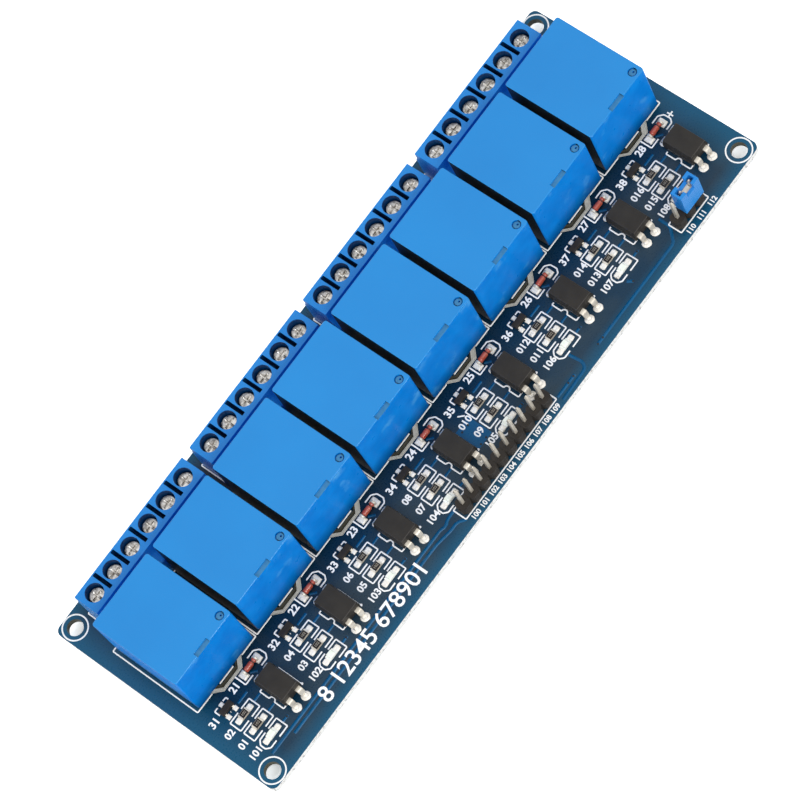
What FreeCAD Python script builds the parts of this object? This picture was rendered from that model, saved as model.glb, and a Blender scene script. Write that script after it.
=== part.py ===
import FreeCAD, Part
import math
import os
import Sketcher

# Eight-channel relay module board, in millimetres.
# The origin is the centre of the mounting-hole rectangle on the underside of the board.
# X runs from channel 1 to channel 8, Y from the input header to the screw terminals, Z up.
# Small rounds that repeat (wells, screw heads, diodes, vents) are drawn with FLATS sides.

CHANNELS = 8
BLOCKS = 4
POLES = 6
INPUT_PINS = 10
POWER_PINS = 3
JUMPER_PINS = 2
FLATS = 12

SIZES = {
    # circuit board and its mounting holes
    "board_length": 140.0,
    "board_width": 50.6,
    "board_thick": 1.6,
    "board_corner": 1.3,
    "hole_spacing_x": 134.6,
    "hole_spacing_y": 45.5,
    "hole_radius": 1.55,
    "passage_gap": 0.1,
    "cut_margin": 1.0,
    # isolation slot round the common pin of each relay
    "slot_flat": 5.1,
    "slot_width": 1.25,
    "slot_arm": 2.7,
    "slot_reach": 1.3,
    # relays
    "relay_pitch": 16.8,
    "relay_row_x": 0.2,
    "relay_shift": 0.15,
    "relay_row_y": 3.95,
    "relay_width": 15.4,
    "relay_depth": 19.2,
    "relay_rim": 1.0,
    "relay_tall": 14.2,
    "relay_corner": 0.5,
    "relay_edge": 0.2,
    "cover_wall": 0.9,
    "notch_width": 3.4,
    "notch_depth": 0.9,
    "notch_sink": 0.4,
    "vent_side": 6.1,
    "vent_inset": 1.35,
    "vent_radius": 0.85,
    "vent_sink": 0.3,
    "base_lift": 0.5,
    "base_thick": 1.6,
    "base_gap": 0.1,
    "foot_size": 1.2,
    "relay_pin_width": 0.9,
    "relay_pin_thick": 0.5,
    "relay_pin_below": 1.9,
    "common_inset": 2.25,
    "coil_inset": 4.25,
    "contact_inset": 16.45,
    "relay_pin_side": 6.0,
    # screw terminal blocks
    "terminal_pitch": 5.0,
    "terminal_spacing": 32.5,
    "terminal_row_x": 0.15,
    "terminal_gap": 0.95,
    "terminal_end": 0.2,
    "terminal_depth": 7.7,
    "terminal_tall": 10.0,
    "shoulder_back": 2.5,
    "shoulder_front": 0.5,
    "shoulder_top": 8.0,
    "shoulder_back_low": 5.5,
    "shoulder_front_low": 7.0,
    "well_inset": 4.7,
    "well_radius": 1.75,
    "well_shelf": 6.6,
    "groove_width": 0.75,
    "groove_length": 4.1,
    "groove_depth": 3.0,
    "entry_width": 3.8,
    "entry_floor": 1.4,
    "entry_back": 1.9,
    "cage_length": 3.4,
    "cage_wall": 0.6,
    "cage_gap": 0.1,
    "screw_radius": 1.55,
    "screw_head": 1.7,
    "screw_slot": 0.45,
    "screw_slot_long": 2.5,
    "screw_slot_deep": 0.6,
    "tongue_thick": 0.5,
    "tongue_drop": 0.8,
    "terminal_pin_width": 1.0,
    "terminal_pin_thick": 0.8,
    "terminal_pin_below": 1.9,
    # optocouplers
    "opto_side": 3.6,
    "opto_inset": 9.3,
    "opto_width": 4.6,
    "opto_length": 6.5,
    "opto_lift": 0.8,
    "opto_lower": 1.4,
    "opto_upper": 1.5,
    "opto_draft": 6.0,
    "lead_pitch": 2.54,
    "lead_width": 0.5,
    "lead_thick": 0.3,
    "lead_shoulder": 0.55,
    "lead_splay": 0.7,
    "lead_below": 1.4,
    # flyback diodes
    "diode_side": 3.5,
    "diode_inset": 2.4,
    "diode_length": 3.5,
    "diode_radius": 0.75,
    # driver transistors
    "transistor_side": -4.75,
    "transistor_inset": 3.65,
    "transistor_width": 2.9,
    "transistor_length": 1.3,
    "transistor_lift": 0.1,
    "transistor_lower": 0.4,
    "transistor_upper": 0.45,
    "transistor_lead_side": 0.95,
    "transistor_lead_width": 0.4,
    "transistor_lead_thick": 0.15,
    "transistor_foot": 0.4,
    "transistor_reach": 0.2,
    # chip resistors and indicator lamps
    "chip_side": -3.75,
    "chip_length": 2.0,
    "chip_width": 1.25,
    "chip_tall": 0.5,
    "chip_cap": 0.4,
    "chip_first_inset": 6.8,
    "chip_second_inset": 9.9,
    "lamp_inset": 13.05,
    "lamp_base": 0.35,
    "lamp_lens_length": 1.3,
    "lamp_lens_tall": 0.5,
    # pin headers and jumper
    "pin_pitch": 2.54,
    "pin_size": 0.64,
    "pin_above": 8.6,
    "pin_below": 1.5,
    "header_width": 2.5,
    "header_tall": 2.54,
    "header_chamfer": 0.6,
    "header_inset": 3.25,
    "input_first": 58.45,
    "power_first": 19.25,
    "jumper_gap": 0.1,
    "jumper_end": 1.23,
    "jumper_width": 2.46,
    "jumper_tall": 6.1,
    "jumper_valley": 1.6,
    "jumper_valley_deep": 1.4,
    "jumper_slot_end": 0.45,
    "jumper_slot_width": 1.3,
    "clip_thick": 0.2,
    "clip_tall": 4.2,
}

BOARD_TOP = "Sizes.board_thick"
RELAY_FRONT = "(Sizes.relay_row_y - Sizes.relay_depth / 2)"
FIRST_CHANNEL = f"(Sizes.relay_row_x - {(CHANNELS - 1) / 2} * Sizes.relay_pitch)"
FIRST_RELAY = f"({FIRST_CHANNEL} + Sizes.relay_shift)"
TERMINAL_BACK = "(Sizes.relay_row_y + Sizes.relay_depth / 2 + Sizes.terminal_gap)"
FIRST_BLOCK = f"(Sizes.terminal_row_x - {(BLOCKS - 1) / 2} * Sizes.terminal_spacing)"
FIRST_POLE = f"(-{(POLES - 1) / 2} * Sizes.terminal_pitch)"
CAGE_Y = "Sizes.well_inset"
CAGE_WIDTH = "(Sizes.entry_width - 2 * Sizes.cage_gap)"
TERMINAL_PIN_Y = "(Sizes.entry_back + Sizes.cage_gap + Sizes.terminal_pin_thick / 2)"
CAGE_FLOOR = "(Sizes.entry_floor + Sizes.cage_gap)"
TONGUE_TOP = "(Sizes.well_shelf - Sizes.cage_wall - Sizes.tongue_drop)"
OPTO_Y = f"({RELAY_FRONT} - Sizes.opto_inset)"
OPTO_PARTING = "(Sizes.opto_lift + Sizes.opto_lower + Sizes.lead_thick / 2)"
LEAD_ROW = "(Sizes.opto_length / 2 + Sizes.lead_shoulder + Sizes.lead_splay / 2)"
HEADER_Y = "(Sizes.header_inset - Sizes.board_width / 2)"
HEADERS = {
    "input": ("(Sizes.input_first - Sizes.board_length / 2)", INPUT_PINS),
    "power": ("(Sizes.board_length / 2 - Sizes.power_first)", POWER_PINS),
}

doc = FreeCAD.newDocument("RelayModuleBoard")
sheet = doc.addObject("Spreadsheet::Sheet", "Sizes")
for row, (alias, size) in enumerate(SIZES.items(), start=1):
    sheet.set(f"A{row}", alias)
    sheet.set(f"B{row}", str(size))
    sheet.setAlias(f"B{row}", alias)
doc.recompute()

nodes = []


def origin_part(body, role):
    """Return the plane or axis of the body's own origin that has this role."""
    return next(part for part in body.Origin.OriginFeatures if part.Role == role)


def start_body(label, x=None, y=None, z=None):
    """Start a named body; its Placement follows the given expressions."""
    body = doc.addObject("PartDesign::Body", label)
    body.Label = label
    for axis, expression in (("x", x), ("y", y), ("z", z)):
        if expression is not None:
            body.setExpression(f".Placement.Base.{axis}", expression)
    nodes.append(body)
    return body


def start_sketch(body, role="XY_Plane", x=None, y=None, z=None):
    """Start a sketch on an origin plane, shifted in the sketch's own x, y and normal."""
    sketch = body.newObject("Sketcher::SketchObject", "Sketch")
    sketch.AttachmentSupport = [(origin_part(body, role), "")]
    sketch.MapMode = "FlatFace"
    for axis, expression in (("x", x), ("y", y), ("z", z)):
        if expression is not None:
            sketch.setExpression(f".AttachmentOffset.Base.{axis}", expression)
    return sketch


def polygon(sketch, corners):
    """Draw a closed outline whose corners are pairs of expressions."""
    count = len(corners)
    turn = 2 * math.pi / count
    starts = [FreeCAD.Vector(math.cos(turn * i), math.sin(turn * i), 0) for i in range(count)]
    lines = []
    for i in range(count):
        lines.append(sketch.addGeometry(Part.LineSegment(starts[i], starts[(i + 1) % count]), False))
    for i in range(count):
        sketch.addConstraint(Sketcher.Constraint("Coincident", lines[i], 2, lines[(i + 1) % count], 1))
    for line, (x, y) in zip(lines, corners):
        for kind, expression in (("DistanceX", x), ("DistanceY", y)):
            index = sketch.addConstraint(Sketcher.Constraint(kind, line, 1, 1.0))
            sketch.setExpression(f".Constraints[{index}]", expression)


def rectangle(sketch, x, y, wide, deep):
    """Draw a rectangle round a centre; every value is an expression."""
    polygon(sketch, [
        (f"{x} - ({wide}) / 2", f"{y} - ({deep}) / 2"),
        (f"{x} + ({wide}) / 2", f"{y} - ({deep}) / 2"),
        (f"{x} + ({wide}) / 2", f"{y} + ({deep}) / 2"),
        (f"{x} - ({wide}) / 2", f"{y} + ({deep}) / 2"),
    ])


def circle(sketch, x, y, radius):
    """Draw a circle; centre and radius are expressions."""
    ring = sketch.addGeometry(Part.Circle(FreeCAD.Vector(1, 1, 0), FreeCAD.Vector(0, 0, 1), 1), False)
    for kind, expression in (("DistanceX", x), ("DistanceY", y)):
        index = sketch.addConstraint(Sketcher.Constraint(kind, ring, 3, 1.0))
        sketch.setExpression(f".Constraints[{index}]", expression)
    index = sketch.addConstraint(Sketcher.Constraint("Radius", ring, 1.0))
    sketch.setExpression(f".Constraints[{index}]", radius)


def small_round(sketch, x, y, radius):
    """Draw a small round as a regular outline of FLATS sides, its corners on the radius."""
    corners = []
    for i in range(FLATS):
        angle = 2 * math.pi * (i + 0.5) / FLATS
        across = f"{x} + {math.cos(angle):.6f} * {radius}"
        along = f"{y} + {math.sin(angle):.6f} * {radius}"
        corners.append((across, along))
    polygon(sketch, corners)


def pad(body, sketch, length, midplane=False, downward=False, draft=None):
    """Raise a sketch into a solid."""
    feature = body.newObject("PartDesign::Pad", "Pad")
    feature.Profile = sketch
    feature.setExpression("Length", length)
    feature.Midplane = midplane
    feature.Reversed = downward
    if draft is not None:
        feature.setExpression("TaperAngle", draft)
    return feature


def pocket(body, sketch, depth=None):
    """Cut a sketch into the body, to a depth or right through."""
    feature = body.newObject("PartDesign::Pocket", "Pocket")
    feature.Profile = sketch
    if depth is None:
        feature.Type = "ThroughAll"
    else:
        feature.setExpression("Length", depth)
    return feature


def line_up(body, feature, *steps):
    """Repeat a feature along one or two axes; a step is (axis, spacing expression, count)."""
    if len(steps) == 1:
        pattern = body.newObject("PartDesign::LinearPattern", "Row")
        pattern.Originals = [feature]
        rows = [pattern]
    else:
        pattern = body.newObject("PartDesign::MultiTransform", "Grid")
        pattern.Originals = [feature]
        rows = [body.newObject("PartDesign::LinearPattern", "Row") for _ in steps]
        pattern.Transformations = rows
    for row, (axis, spacing, count) in zip(rows, steps):
        row.Direction = (origin_part(body, axis), [""])
        row.setExpression("Length", f"({spacing}) * {count - 1}")
        row.Occurrences = count
    body.Tip = pattern
    return pattern


def edges_of(shape, test):
    """Name the edges of a shape that pass a test."""
    return [f"Edge{i}" for i, edge in enumerate(shape.Edges, start=1) if test(edge)]


def is_upright(edge):
    """Tell whether an edge runs along Z."""
    return abs(edge.BoundBox.ZLength - edge.Length) < 1e-6


def every_channel(body, feature):
    """Repeat a feature of channel 1 at each of the other channels."""
    return line_up(body, feature, ("X_Axis", "Sizes.relay_pitch", CHANNELS))


def relay_pin_places():
    """Return the x, y, width and depth expressions of one relay's five pins."""
    wide = "Sizes.relay_pin_width"
    thick = "Sizes.relay_pin_thick"
    side = "Sizes.relay_pin_side"
    places = [("0", f"{RELAY_FRONT} + Sizes.common_inset", wide, thick)]
    for inset in ("Sizes.coil_inset", "Sizes.contact_inset"):
        for sign in ("-", "+"):
            places.append((f"{sign}{side}", f"{RELAY_FRONT} + {inset}", thick, wide))
    return places


def build_circuit_board():
    """Model the bare board with its mounting holes, isolation slots and pin passages."""
    body = start_body("circuit_board")
    outline = start_sketch(body)
    rectangle(outline, "0", "0", "Sizes.board_length", "Sizes.board_width")
    slab = pad(body, outline, "Sizes.board_thick")
    doc.recompute()
    corners = body.newObject("PartDesign::Fillet", "Corners")
    corners.Base = (slab, edges_of(slab.Shape, is_upright))
    corners.setExpression("Radius", "Sizes.board_corner")

    holes = start_sketch(body, z=BOARD_TOP)
    for sign_x in ("-", "+"):
        for sign_y in ("-", "+"):
            circle(holes, f"{sign_x}Sizes.hole_spacing_x / 2", f"{sign_y}Sizes.hole_spacing_y / 2",
                   "Sizes.hole_radius")
    pocket(body, holes)

    gap = "2 * Sizes.passage_gap"
    channel = start_sketch(body, x=FIRST_CHANNEL, z=BOARD_TOP)
    draw_isolation_slot(channel)
    for x, y, wide, deep in relay_pin_places():
        rectangle(channel, x, y, f"{wide} + {gap}", f"{deep} + {gap}")
    for side in ("-", "+"):
        for end in ("-", "+"):
            rectangle(channel, f"Sizes.opto_side {side} Sizes.lead_pitch / 2", f"{OPTO_Y} {end} {LEAD_ROW}",
                      f"Sizes.lead_width + {gap}", f"Sizes.lead_thick + Sizes.lead_splay + {gap}")
    every_channel(body, pocket(body, channel))

    pole = start_sketch(body, x=f"{FIRST_BLOCK} + {FIRST_POLE}", z=BOARD_TOP)
    rectangle(pole, "0", f"{TERMINAL_BACK} + {TERMINAL_PIN_Y}",
              f"Sizes.terminal_pin_width + {gap}", f"Sizes.terminal_pin_thick + {gap}")
    line_up(body, pocket(body, pole), ("X_Axis", "Sizes.terminal_pitch", POLES),
            ("X_Axis", "Sizes.terminal_spacing", BLOCKS))

    for first_x, count in HEADERS.values():
        first = start_sketch(body, x=first_x, y=HEADER_Y, z=BOARD_TOP)
        rectangle(first, "0", "0", f"Sizes.pin_size + {gap}", f"Sizes.pin_size + {gap}")
        line_up(body, pocket(body, first), ("X_Axis", "Sizes.pin_pitch", count))


def draw_isolation_slot(sketch):
    """Draw the routed slot: a straight run in front of the relay and two arms at 45 degrees."""
    outer_y = f"{RELAY_FRONT} - Sizes.slot_reach"
    flat = "Sizes.slot_flat / 2"
    mitre = f"Sizes.slot_width * {math.tan(math.radians(22.5)):.6f}"
    skew = f"Sizes.slot_width * {math.sqrt(0.5):.6f}"
    right = [
        (flat, outer_y),
        (f"{flat} + Sizes.slot_arm", f"{outer_y} + Sizes.slot_arm"),
        (f"{flat} + Sizes.slot_arm - {skew}", f"{outer_y} + Sizes.slot_arm + {skew}"),
        (f"{flat} - {mitre}", f"{outer_y} + Sizes.slot_width"),
    ]
    left = [(f"-({x})", y) for x, y in reversed(right)]
    polygon(sketch, right + left)


def build_relay_cover(index):
    """Model one relay cover: chamfered box, orientation notch, vent recess and open underside."""
    body = start_body(f"relay_cover_{index + 1}", x=f"{FIRST_RELAY} + {index} * Sizes.relay_pitch",
                      y="Sizes.relay_row_y", z=f"{BOARD_TOP} + Sizes.relay_rim")
    outline = start_sketch(body)
    rectangle(outline, "0", "0", "Sizes.relay_width", "Sizes.relay_depth")
    block = pad(body, outline, "Sizes.relay_tall")
    doc.recompute()
    corners = body.newObject("PartDesign::Chamfer", "Corners")
    corners.Base = (block, edges_of(block.Shape, is_upright))
    corners.setExpression("Size", "Sizes.relay_corner")
    doc.recompute()
    top = corners.Shape.BoundBox.ZMax
    rim = body.newObject("PartDesign::Chamfer", "TopEdge")
    rim.Base = (corners, edges_of(corners.Shape, lambda edge: edge.BoundBox.ZMin > top - 1e-6))
    rim.setExpression("Size", "Sizes.relay_edge")

    notch = start_sketch(body, z="Sizes.relay_tall")
    rectangle(notch, "0", "(Sizes.notch_depth - Sizes.relay_depth) / 2", "Sizes.notch_width",
              "Sizes.notch_depth")
    pocket(body, notch, "Sizes.notch_sink")
    vent = start_sketch(body, z="Sizes.relay_tall")
    small_round(vent, "Sizes.vent_side", "Sizes.vent_inset - Sizes.relay_depth / 2", "Sizes.vent_radius")
    pocket(body, vent, "Sizes.vent_sink")

    recess = start_sketch(body, z="Sizes.base_lift + Sizes.base_thick - Sizes.relay_rim")
    rectangle(recess, "0", "0", "Sizes.relay_width - 2 * Sizes.cover_wall",
              "Sizes.relay_depth - 2 * Sizes.cover_wall")
    pocket(body, recess, "Sizes.base_lift + Sizes.base_thick")


def build_relay_base(index):
    """Model one relay base: the plate that closes the cover, on four feet."""
    body = start_body(f"relay_base_{index + 1}", x=f"{FIRST_RELAY} + {index} * Sizes.relay_pitch",
                      y="Sizes.relay_row_y", z=BOARD_TOP)
    inset = "2 * (Sizes.cover_wall + Sizes.base_gap)"
    plate = start_sketch(body, z="Sizes.base_lift")
    rectangle(plate, "0", "0", f"Sizes.relay_width - {inset}", f"Sizes.relay_depth - {inset}")
    pad(body, plate, "Sizes.base_thick")
    feet = start_sketch(body, z="Sizes.base_lift")
    for sign_x in ("-", "+"):
        for sign_y in ("-", "+"):
            rectangle(feet, f"{sign_x}(Sizes.relay_width - {inset} - Sizes.foot_size) / 2",
                      f"{sign_y}(Sizes.relay_depth - {inset} - Sizes.foot_size) / 2",
                      "Sizes.foot_size", "Sizes.foot_size")
    pad(body, feet, "Sizes.base_lift", downward=True)


def build_relay_pins():
    """Model the five pins of every relay, from its base down through the board."""
    body = start_body("relay_pins")
    sketch = start_sketch(body, x=FIRST_CHANNEL, z="-Sizes.relay_pin_below")
    for x, y, wide, deep in relay_pin_places():
        rectangle(sketch, x, y, wide, deep)
    every_channel(body, pad(body, sketch, f"Sizes.relay_pin_below + {BOARD_TOP} + Sizes.base_lift"))


def build_terminal_housing(index):
    """Model one terminal housing: shouldered profile, screw wells, wire entries and grooves."""
    body = start_body(f"terminal_housing_{index + 1}", x=f"{FIRST_BLOCK} + {index} * Sizes.terminal_spacing",
                      y=TERMINAL_BACK, z=BOARD_TOP)
    profile = start_sketch(body, role="YZ_Plane")
    polygon(profile, [
        ("0", "0"),
        ("Sizes.terminal_depth", "0"),
        ("Sizes.terminal_depth", "Sizes.shoulder_front_low"),
        ("Sizes.terminal_depth - Sizes.shoulder_front", "Sizes.shoulder_top"),
        ("Sizes.terminal_depth - Sizes.shoulder_front", "Sizes.terminal_tall"),
        ("Sizes.shoulder_back", "Sizes.terminal_tall"),
        ("Sizes.shoulder_back", "Sizes.shoulder_top"),
        ("0", "Sizes.shoulder_back_low"),
    ])
    pad(body, profile, f"{POLES} * Sizes.terminal_pitch + 2 * Sizes.terminal_end", midplane=True)

    along = ("X_Axis", "Sizes.terminal_pitch", POLES)
    well = start_sketch(body, x=FIRST_POLE, z="Sizes.terminal_tall")
    small_round(well, "0", "Sizes.well_inset", "Sizes.well_radius")
    line_up(body, pocket(body, well, "Sizes.terminal_tall - Sizes.well_shelf"), along)

    chamber = start_sketch(body, x=FIRST_POLE, z="Sizes.well_shelf")
    mouth = "Sizes.terminal_depth + Sizes.cut_margin"
    rectangle(chamber, "0", f"(Sizes.entry_back + {mouth}) / 2", "Sizes.entry_width",
              f"{mouth} - Sizes.entry_back")
    line_up(body, pocket(body, chamber, "Sizes.well_shelf - Sizes.entry_floor"), along)

    pin = start_sketch(body, x=FIRST_POLE, z="Sizes.entry_floor")
    rectangle(pin, "0", TERMINAL_PIN_Y, "Sizes.terminal_pin_width + 2 * Sizes.cage_gap",
              "Sizes.terminal_pin_thick + 2 * Sizes.cage_gap")
    line_up(body, pocket(body, pin, "Sizes.entry_floor"), along)

    groove = start_sketch(body, x=f"{FIRST_POLE} + Sizes.terminal_pitch / 2", z="Sizes.terminal_tall")
    middle = "(Sizes.shoulder_back + Sizes.terminal_depth - Sizes.shoulder_front) / 2"
    rectangle(groove, "0", middle, "Sizes.groove_width", "Sizes.groove_length")
    line_up(body, pocket(body, groove, "Sizes.groove_depth"), ("X_Axis", "Sizes.terminal_pitch", POLES - 1))


def build_terminal_clamps(index):
    """Model the six wire cages of one terminal block."""
    body = start_body(f"terminal_clamps_{index + 1}", x=f"{FIRST_BLOCK} + {index} * Sizes.terminal_spacing",
                      y=TERMINAL_BACK, z=BOARD_TOP)
    tall = f"(Sizes.well_shelf - {CAGE_FLOOR})"
    ring = start_sketch(body, role="XZ_Plane", x=FIRST_POLE, z=f"-({CAGE_Y})")
    rectangle(ring, "0", f"{CAGE_FLOOR} + {tall} / 2", CAGE_WIDTH, tall)
    rectangle(ring, "0", f"{CAGE_FLOOR} + {tall} / 2", f"{CAGE_WIDTH} - 2 * Sizes.cage_wall",
              f"{tall} - 2 * Sizes.cage_wall")
    cage = pad(body, ring, "Sizes.cage_length", midplane=True)
    line_up(body, cage, ("X_Axis", "Sizes.terminal_pitch", POLES))


def build_terminal_screws(index):
    """Model the six clamp screws of one terminal block, heads on the cages."""
    body = start_body(f"terminal_screws_{index + 1}", x=f"{FIRST_BLOCK} + {index} * Sizes.terminal_spacing",
                      y=TERMINAL_BACK, z=BOARD_TOP)
    head = start_sketch(body, x=FIRST_POLE, z="Sizes.well_shelf")
    small_round(head, "0", "Sizes.well_inset", "Sizes.screw_radius")
    line_up(body, pad(body, head, "Sizes.screw_head"), ("X_Axis", "Sizes.terminal_pitch", POLES))
    slot = start_sketch(body, x=FIRST_POLE, z="Sizes.well_shelf + Sizes.screw_head")
    rectangle(slot, "0", "Sizes.well_inset", "Sizes.screw_slot_long", "Sizes.screw_slot")
    line_up(body, pocket(body, slot, "Sizes.screw_slot_deep"), ("X_Axis", "Sizes.terminal_pitch", POLES))


def build_terminal_pins():
    """Model the solder pins of every terminal pole, each with its tongue inside the cage."""
    body = start_body("terminal_pins")
    sketch = start_sketch(body, role="YZ_Plane", x=f"{TERMINAL_BACK} + {TERMINAL_PIN_Y}", y=BOARD_TOP,
                          z=f"{FIRST_BLOCK} + {FIRST_POLE}")
    half = "Sizes.terminal_pin_thick / 2"
    reach = f"Sizes.well_inset + Sizes.cage_length / 2 - ({TERMINAL_PIN_Y})"
    polygon(sketch, [
        (f"-{half}", f"-Sizes.terminal_pin_below - {BOARD_TOP}"),
        (half, f"-Sizes.terminal_pin_below - {BOARD_TOP}"),
        (half, f"{TONGUE_TOP} - Sizes.tongue_thick"),
        (reach, f"{TONGUE_TOP} - Sizes.tongue_thick"),
        (reach, TONGUE_TOP),
        (f"-{half}", TONGUE_TOP),
    ])
    pin = pad(body, sketch, "Sizes.terminal_pin_width", midplane=True)
    line_up(body, pin, ("X_Axis", "Sizes.terminal_pitch", POLES),
            ("X_Axis", "Sizes.terminal_spacing", BLOCKS))


def moulded_body(body, x, y, wide, deep, lift, lower, band, upper, draft):
    """Model a moulded package: a straight band at the leads, drafted above and below."""
    middle = start_sketch(body, x=x, y=y, z=f"{lift} + {lower}")
    rectangle(middle, "0", "0", wide, deep)
    pad(body, middle, band)
    above = start_sketch(body, x=x, y=y, z=f"{lift} + {lower} + {band}")
    rectangle(above, "0", "0", wide, deep)
    pad(body, above, upper, draft=f"-{draft}")
    below = start_sketch(body, x=x, y=y, z=f"{lift} + {lower}")
    rectangle(below, "0", "0", wide, deep)
    return pad(body, below, lower, downward=True, draft=f"-{draft}")


def build_optocoupler(index):
    """Model one four-lead optocoupler package."""
    body = start_body(f"optocoupler_body_{index + 1}",
                      x=f"{FIRST_CHANNEL} + {index} * Sizes.relay_pitch + Sizes.opto_side",
                      y=OPTO_Y, z=BOARD_TOP)
    moulded_body(body, "0", "0", "Sizes.opto_width", "Sizes.opto_length", "Sizes.opto_lift",
                 "Sizes.opto_lower", "Sizes.lead_thick", "Sizes.opto_upper", "Sizes.opto_draft")


def build_optocoupler_leads():
    """Model the splayed leads of every optocoupler, down through the board."""
    body = start_body("optocoupler_leads")
    sketch = start_sketch(body, role="YZ_Plane", x=OPTO_Y, y=BOARD_TOP,
                          z=f"{FIRST_CHANNEL} + Sizes.opto_side - Sizes.lead_pitch / 2")
    half = "Sizes.lead_thick / 2"
    root = "Sizes.opto_length / 2"
    bend = f"{root} + Sizes.lead_shoulder"
    tip = f"{bend} + Sizes.lead_splay"
    low = f"-{BOARD_TOP} - Sizes.lead_below"
    for sign in ("-", ""):
        polygon(sketch, [
            (f"{sign}({root})", f"{OPTO_PARTING} + {half}"),
            (f"{sign}({bend})", f"{OPTO_PARTING} + {half}"),
            (f"{sign}({tip})", low),
            (f"{sign}({tip} - Sizes.lead_thick)", low),
            (f"{sign}({bend} - Sizes.lead_thick)", f"{OPTO_PARTING} - {half}"),
            (f"{sign}({root})", f"{OPTO_PARTING} - {half}"),
        ])
    leads = pad(body, sketch, "Sizes.lead_width", midplane=True)
    line_up(body, leads, ("X_Axis", "Sizes.lead_pitch", 2), ("X_Axis", "Sizes.relay_pitch", CHANNELS))


def build_diodes():
    """Model the flyback diodes, cylinders that lie on the board along X."""
    body = start_body("flyback_diodes")
    sketch = start_sketch(body, role="YZ_Plane", x=f"{RELAY_FRONT} - Sizes.diode_inset",
                          y=f"{BOARD_TOP} + Sizes.diode_radius", z=f"{FIRST_CHANNEL} + Sizes.diode_side")
    small_round(sketch, "0", "0", "Sizes.diode_radius")
    every_channel(body, pad(body, sketch, "Sizes.diode_length", midplane=True))


def build_transistors():
    """Model the driver transistors and their gull-wing leads."""
    body = start_body("transistor_bodies", z=BOARD_TOP)
    y = f"({RELAY_FRONT} - Sizes.transistor_inset)"
    x = f"{FIRST_CHANNEL} + Sizes.transistor_side"
    middle = start_sketch(body, x=x, y=y, z="Sizes.transistor_lift")
    rectangle(middle, "0", "0", "Sizes.transistor_width", "Sizes.transistor_length")
    every_channel(body, pad(body, middle, "Sizes.transistor_lower + Sizes.transistor_upper"))

    leads = start_body("transistor_leads", z=BOARD_TOP)
    root = "Sizes.transistor_length / 2"
    drop = f"{root} + Sizes.transistor_reach"
    thick = "Sizes.transistor_lead_thick"
    high = "Sizes.transistor_lift + Sizes.transistor_lower"
    for sign, places in (("-", ("-", "+")), ("", ("",))):
        for place in places:
            side = f" {place} Sizes.transistor_lead_side" if place else ""
            sketch = start_sketch(leads, role="YZ_Plane", x=y, z=f"{x}{side}")
            polygon(sketch, [
                (f"{sign}({root})", high),
                (f"{sign}({root})", f"{high} - {thick}"),
                (f"{sign}({drop} - {thick})", f"{high} - {thick}"),
                (f"{sign}({drop} - {thick})", "0"),
                (f"{sign}({drop} + Sizes.transistor_foot)", "0"),
                (f"{sign}({drop} + Sizes.transistor_foot)", thick),
                (f"{sign}({drop})", thick),
                (f"{sign}({drop})", high),
            ])
            every_channel(leads, pad(leads, sketch, "Sizes.transistor_lead_width", midplane=True))


def build_resistors():
    """Model two chip resistors a channel: ceramic bodies between metal end caps."""
    x = f"{FIRST_CHANNEL} + Sizes.chip_side"
    bodies = start_body("resistor_bodies", z=BOARD_TOP)
    caps = start_body("resistor_caps", z=BOARD_TOP)
    for inset in ("Sizes.chip_first_inset", "Sizes.chip_second_inset"):
        y = f"{RELAY_FRONT} - {inset}"
        middle = start_sketch(bodies, x=x, y=y)
        rectangle(middle, "0", "0", "Sizes.chip_length - 2 * Sizes.chip_cap", "Sizes.chip_width")
        every_channel(bodies, pad(bodies, middle, "Sizes.chip_tall"))
        ends = start_sketch(caps, x=x, y=y)
        for sign in ("-", "+"):
            rectangle(ends, f"{sign}(Sizes.chip_length - Sizes.chip_cap) / 2", "0", "Sizes.chip_cap",
                      "Sizes.chip_width")
        every_channel(caps, pad(caps, ends, "Sizes.chip_tall"))


def build_lamps():
    """Model the channel indicator lamps: a base with its end terminals and a lens on top."""
    x = f"{FIRST_CHANNEL} + Sizes.chip_side"
    y = f"{RELAY_FRONT} - Sizes.lamp_inset"
    bases = start_body("lamp_bases", z=BOARD_TOP)
    base = start_sketch(bases, x=x, y=y)
    rectangle(base, "0", "0", "Sizes.chip_length", "Sizes.chip_width")
    every_channel(bases, pad(bases, base, "Sizes.lamp_base"))
    lenses = start_body("lamp_lenses", z=BOARD_TOP)
    lens = start_sketch(lenses, x=x, y=y, z="Sizes.lamp_base")
    rectangle(lens, "0", "0", "Sizes.lamp_lens_length", "Sizes.chip_width")
    every_channel(lenses, pad(lenses, lens, "Sizes.lamp_lens_tall"))


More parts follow.
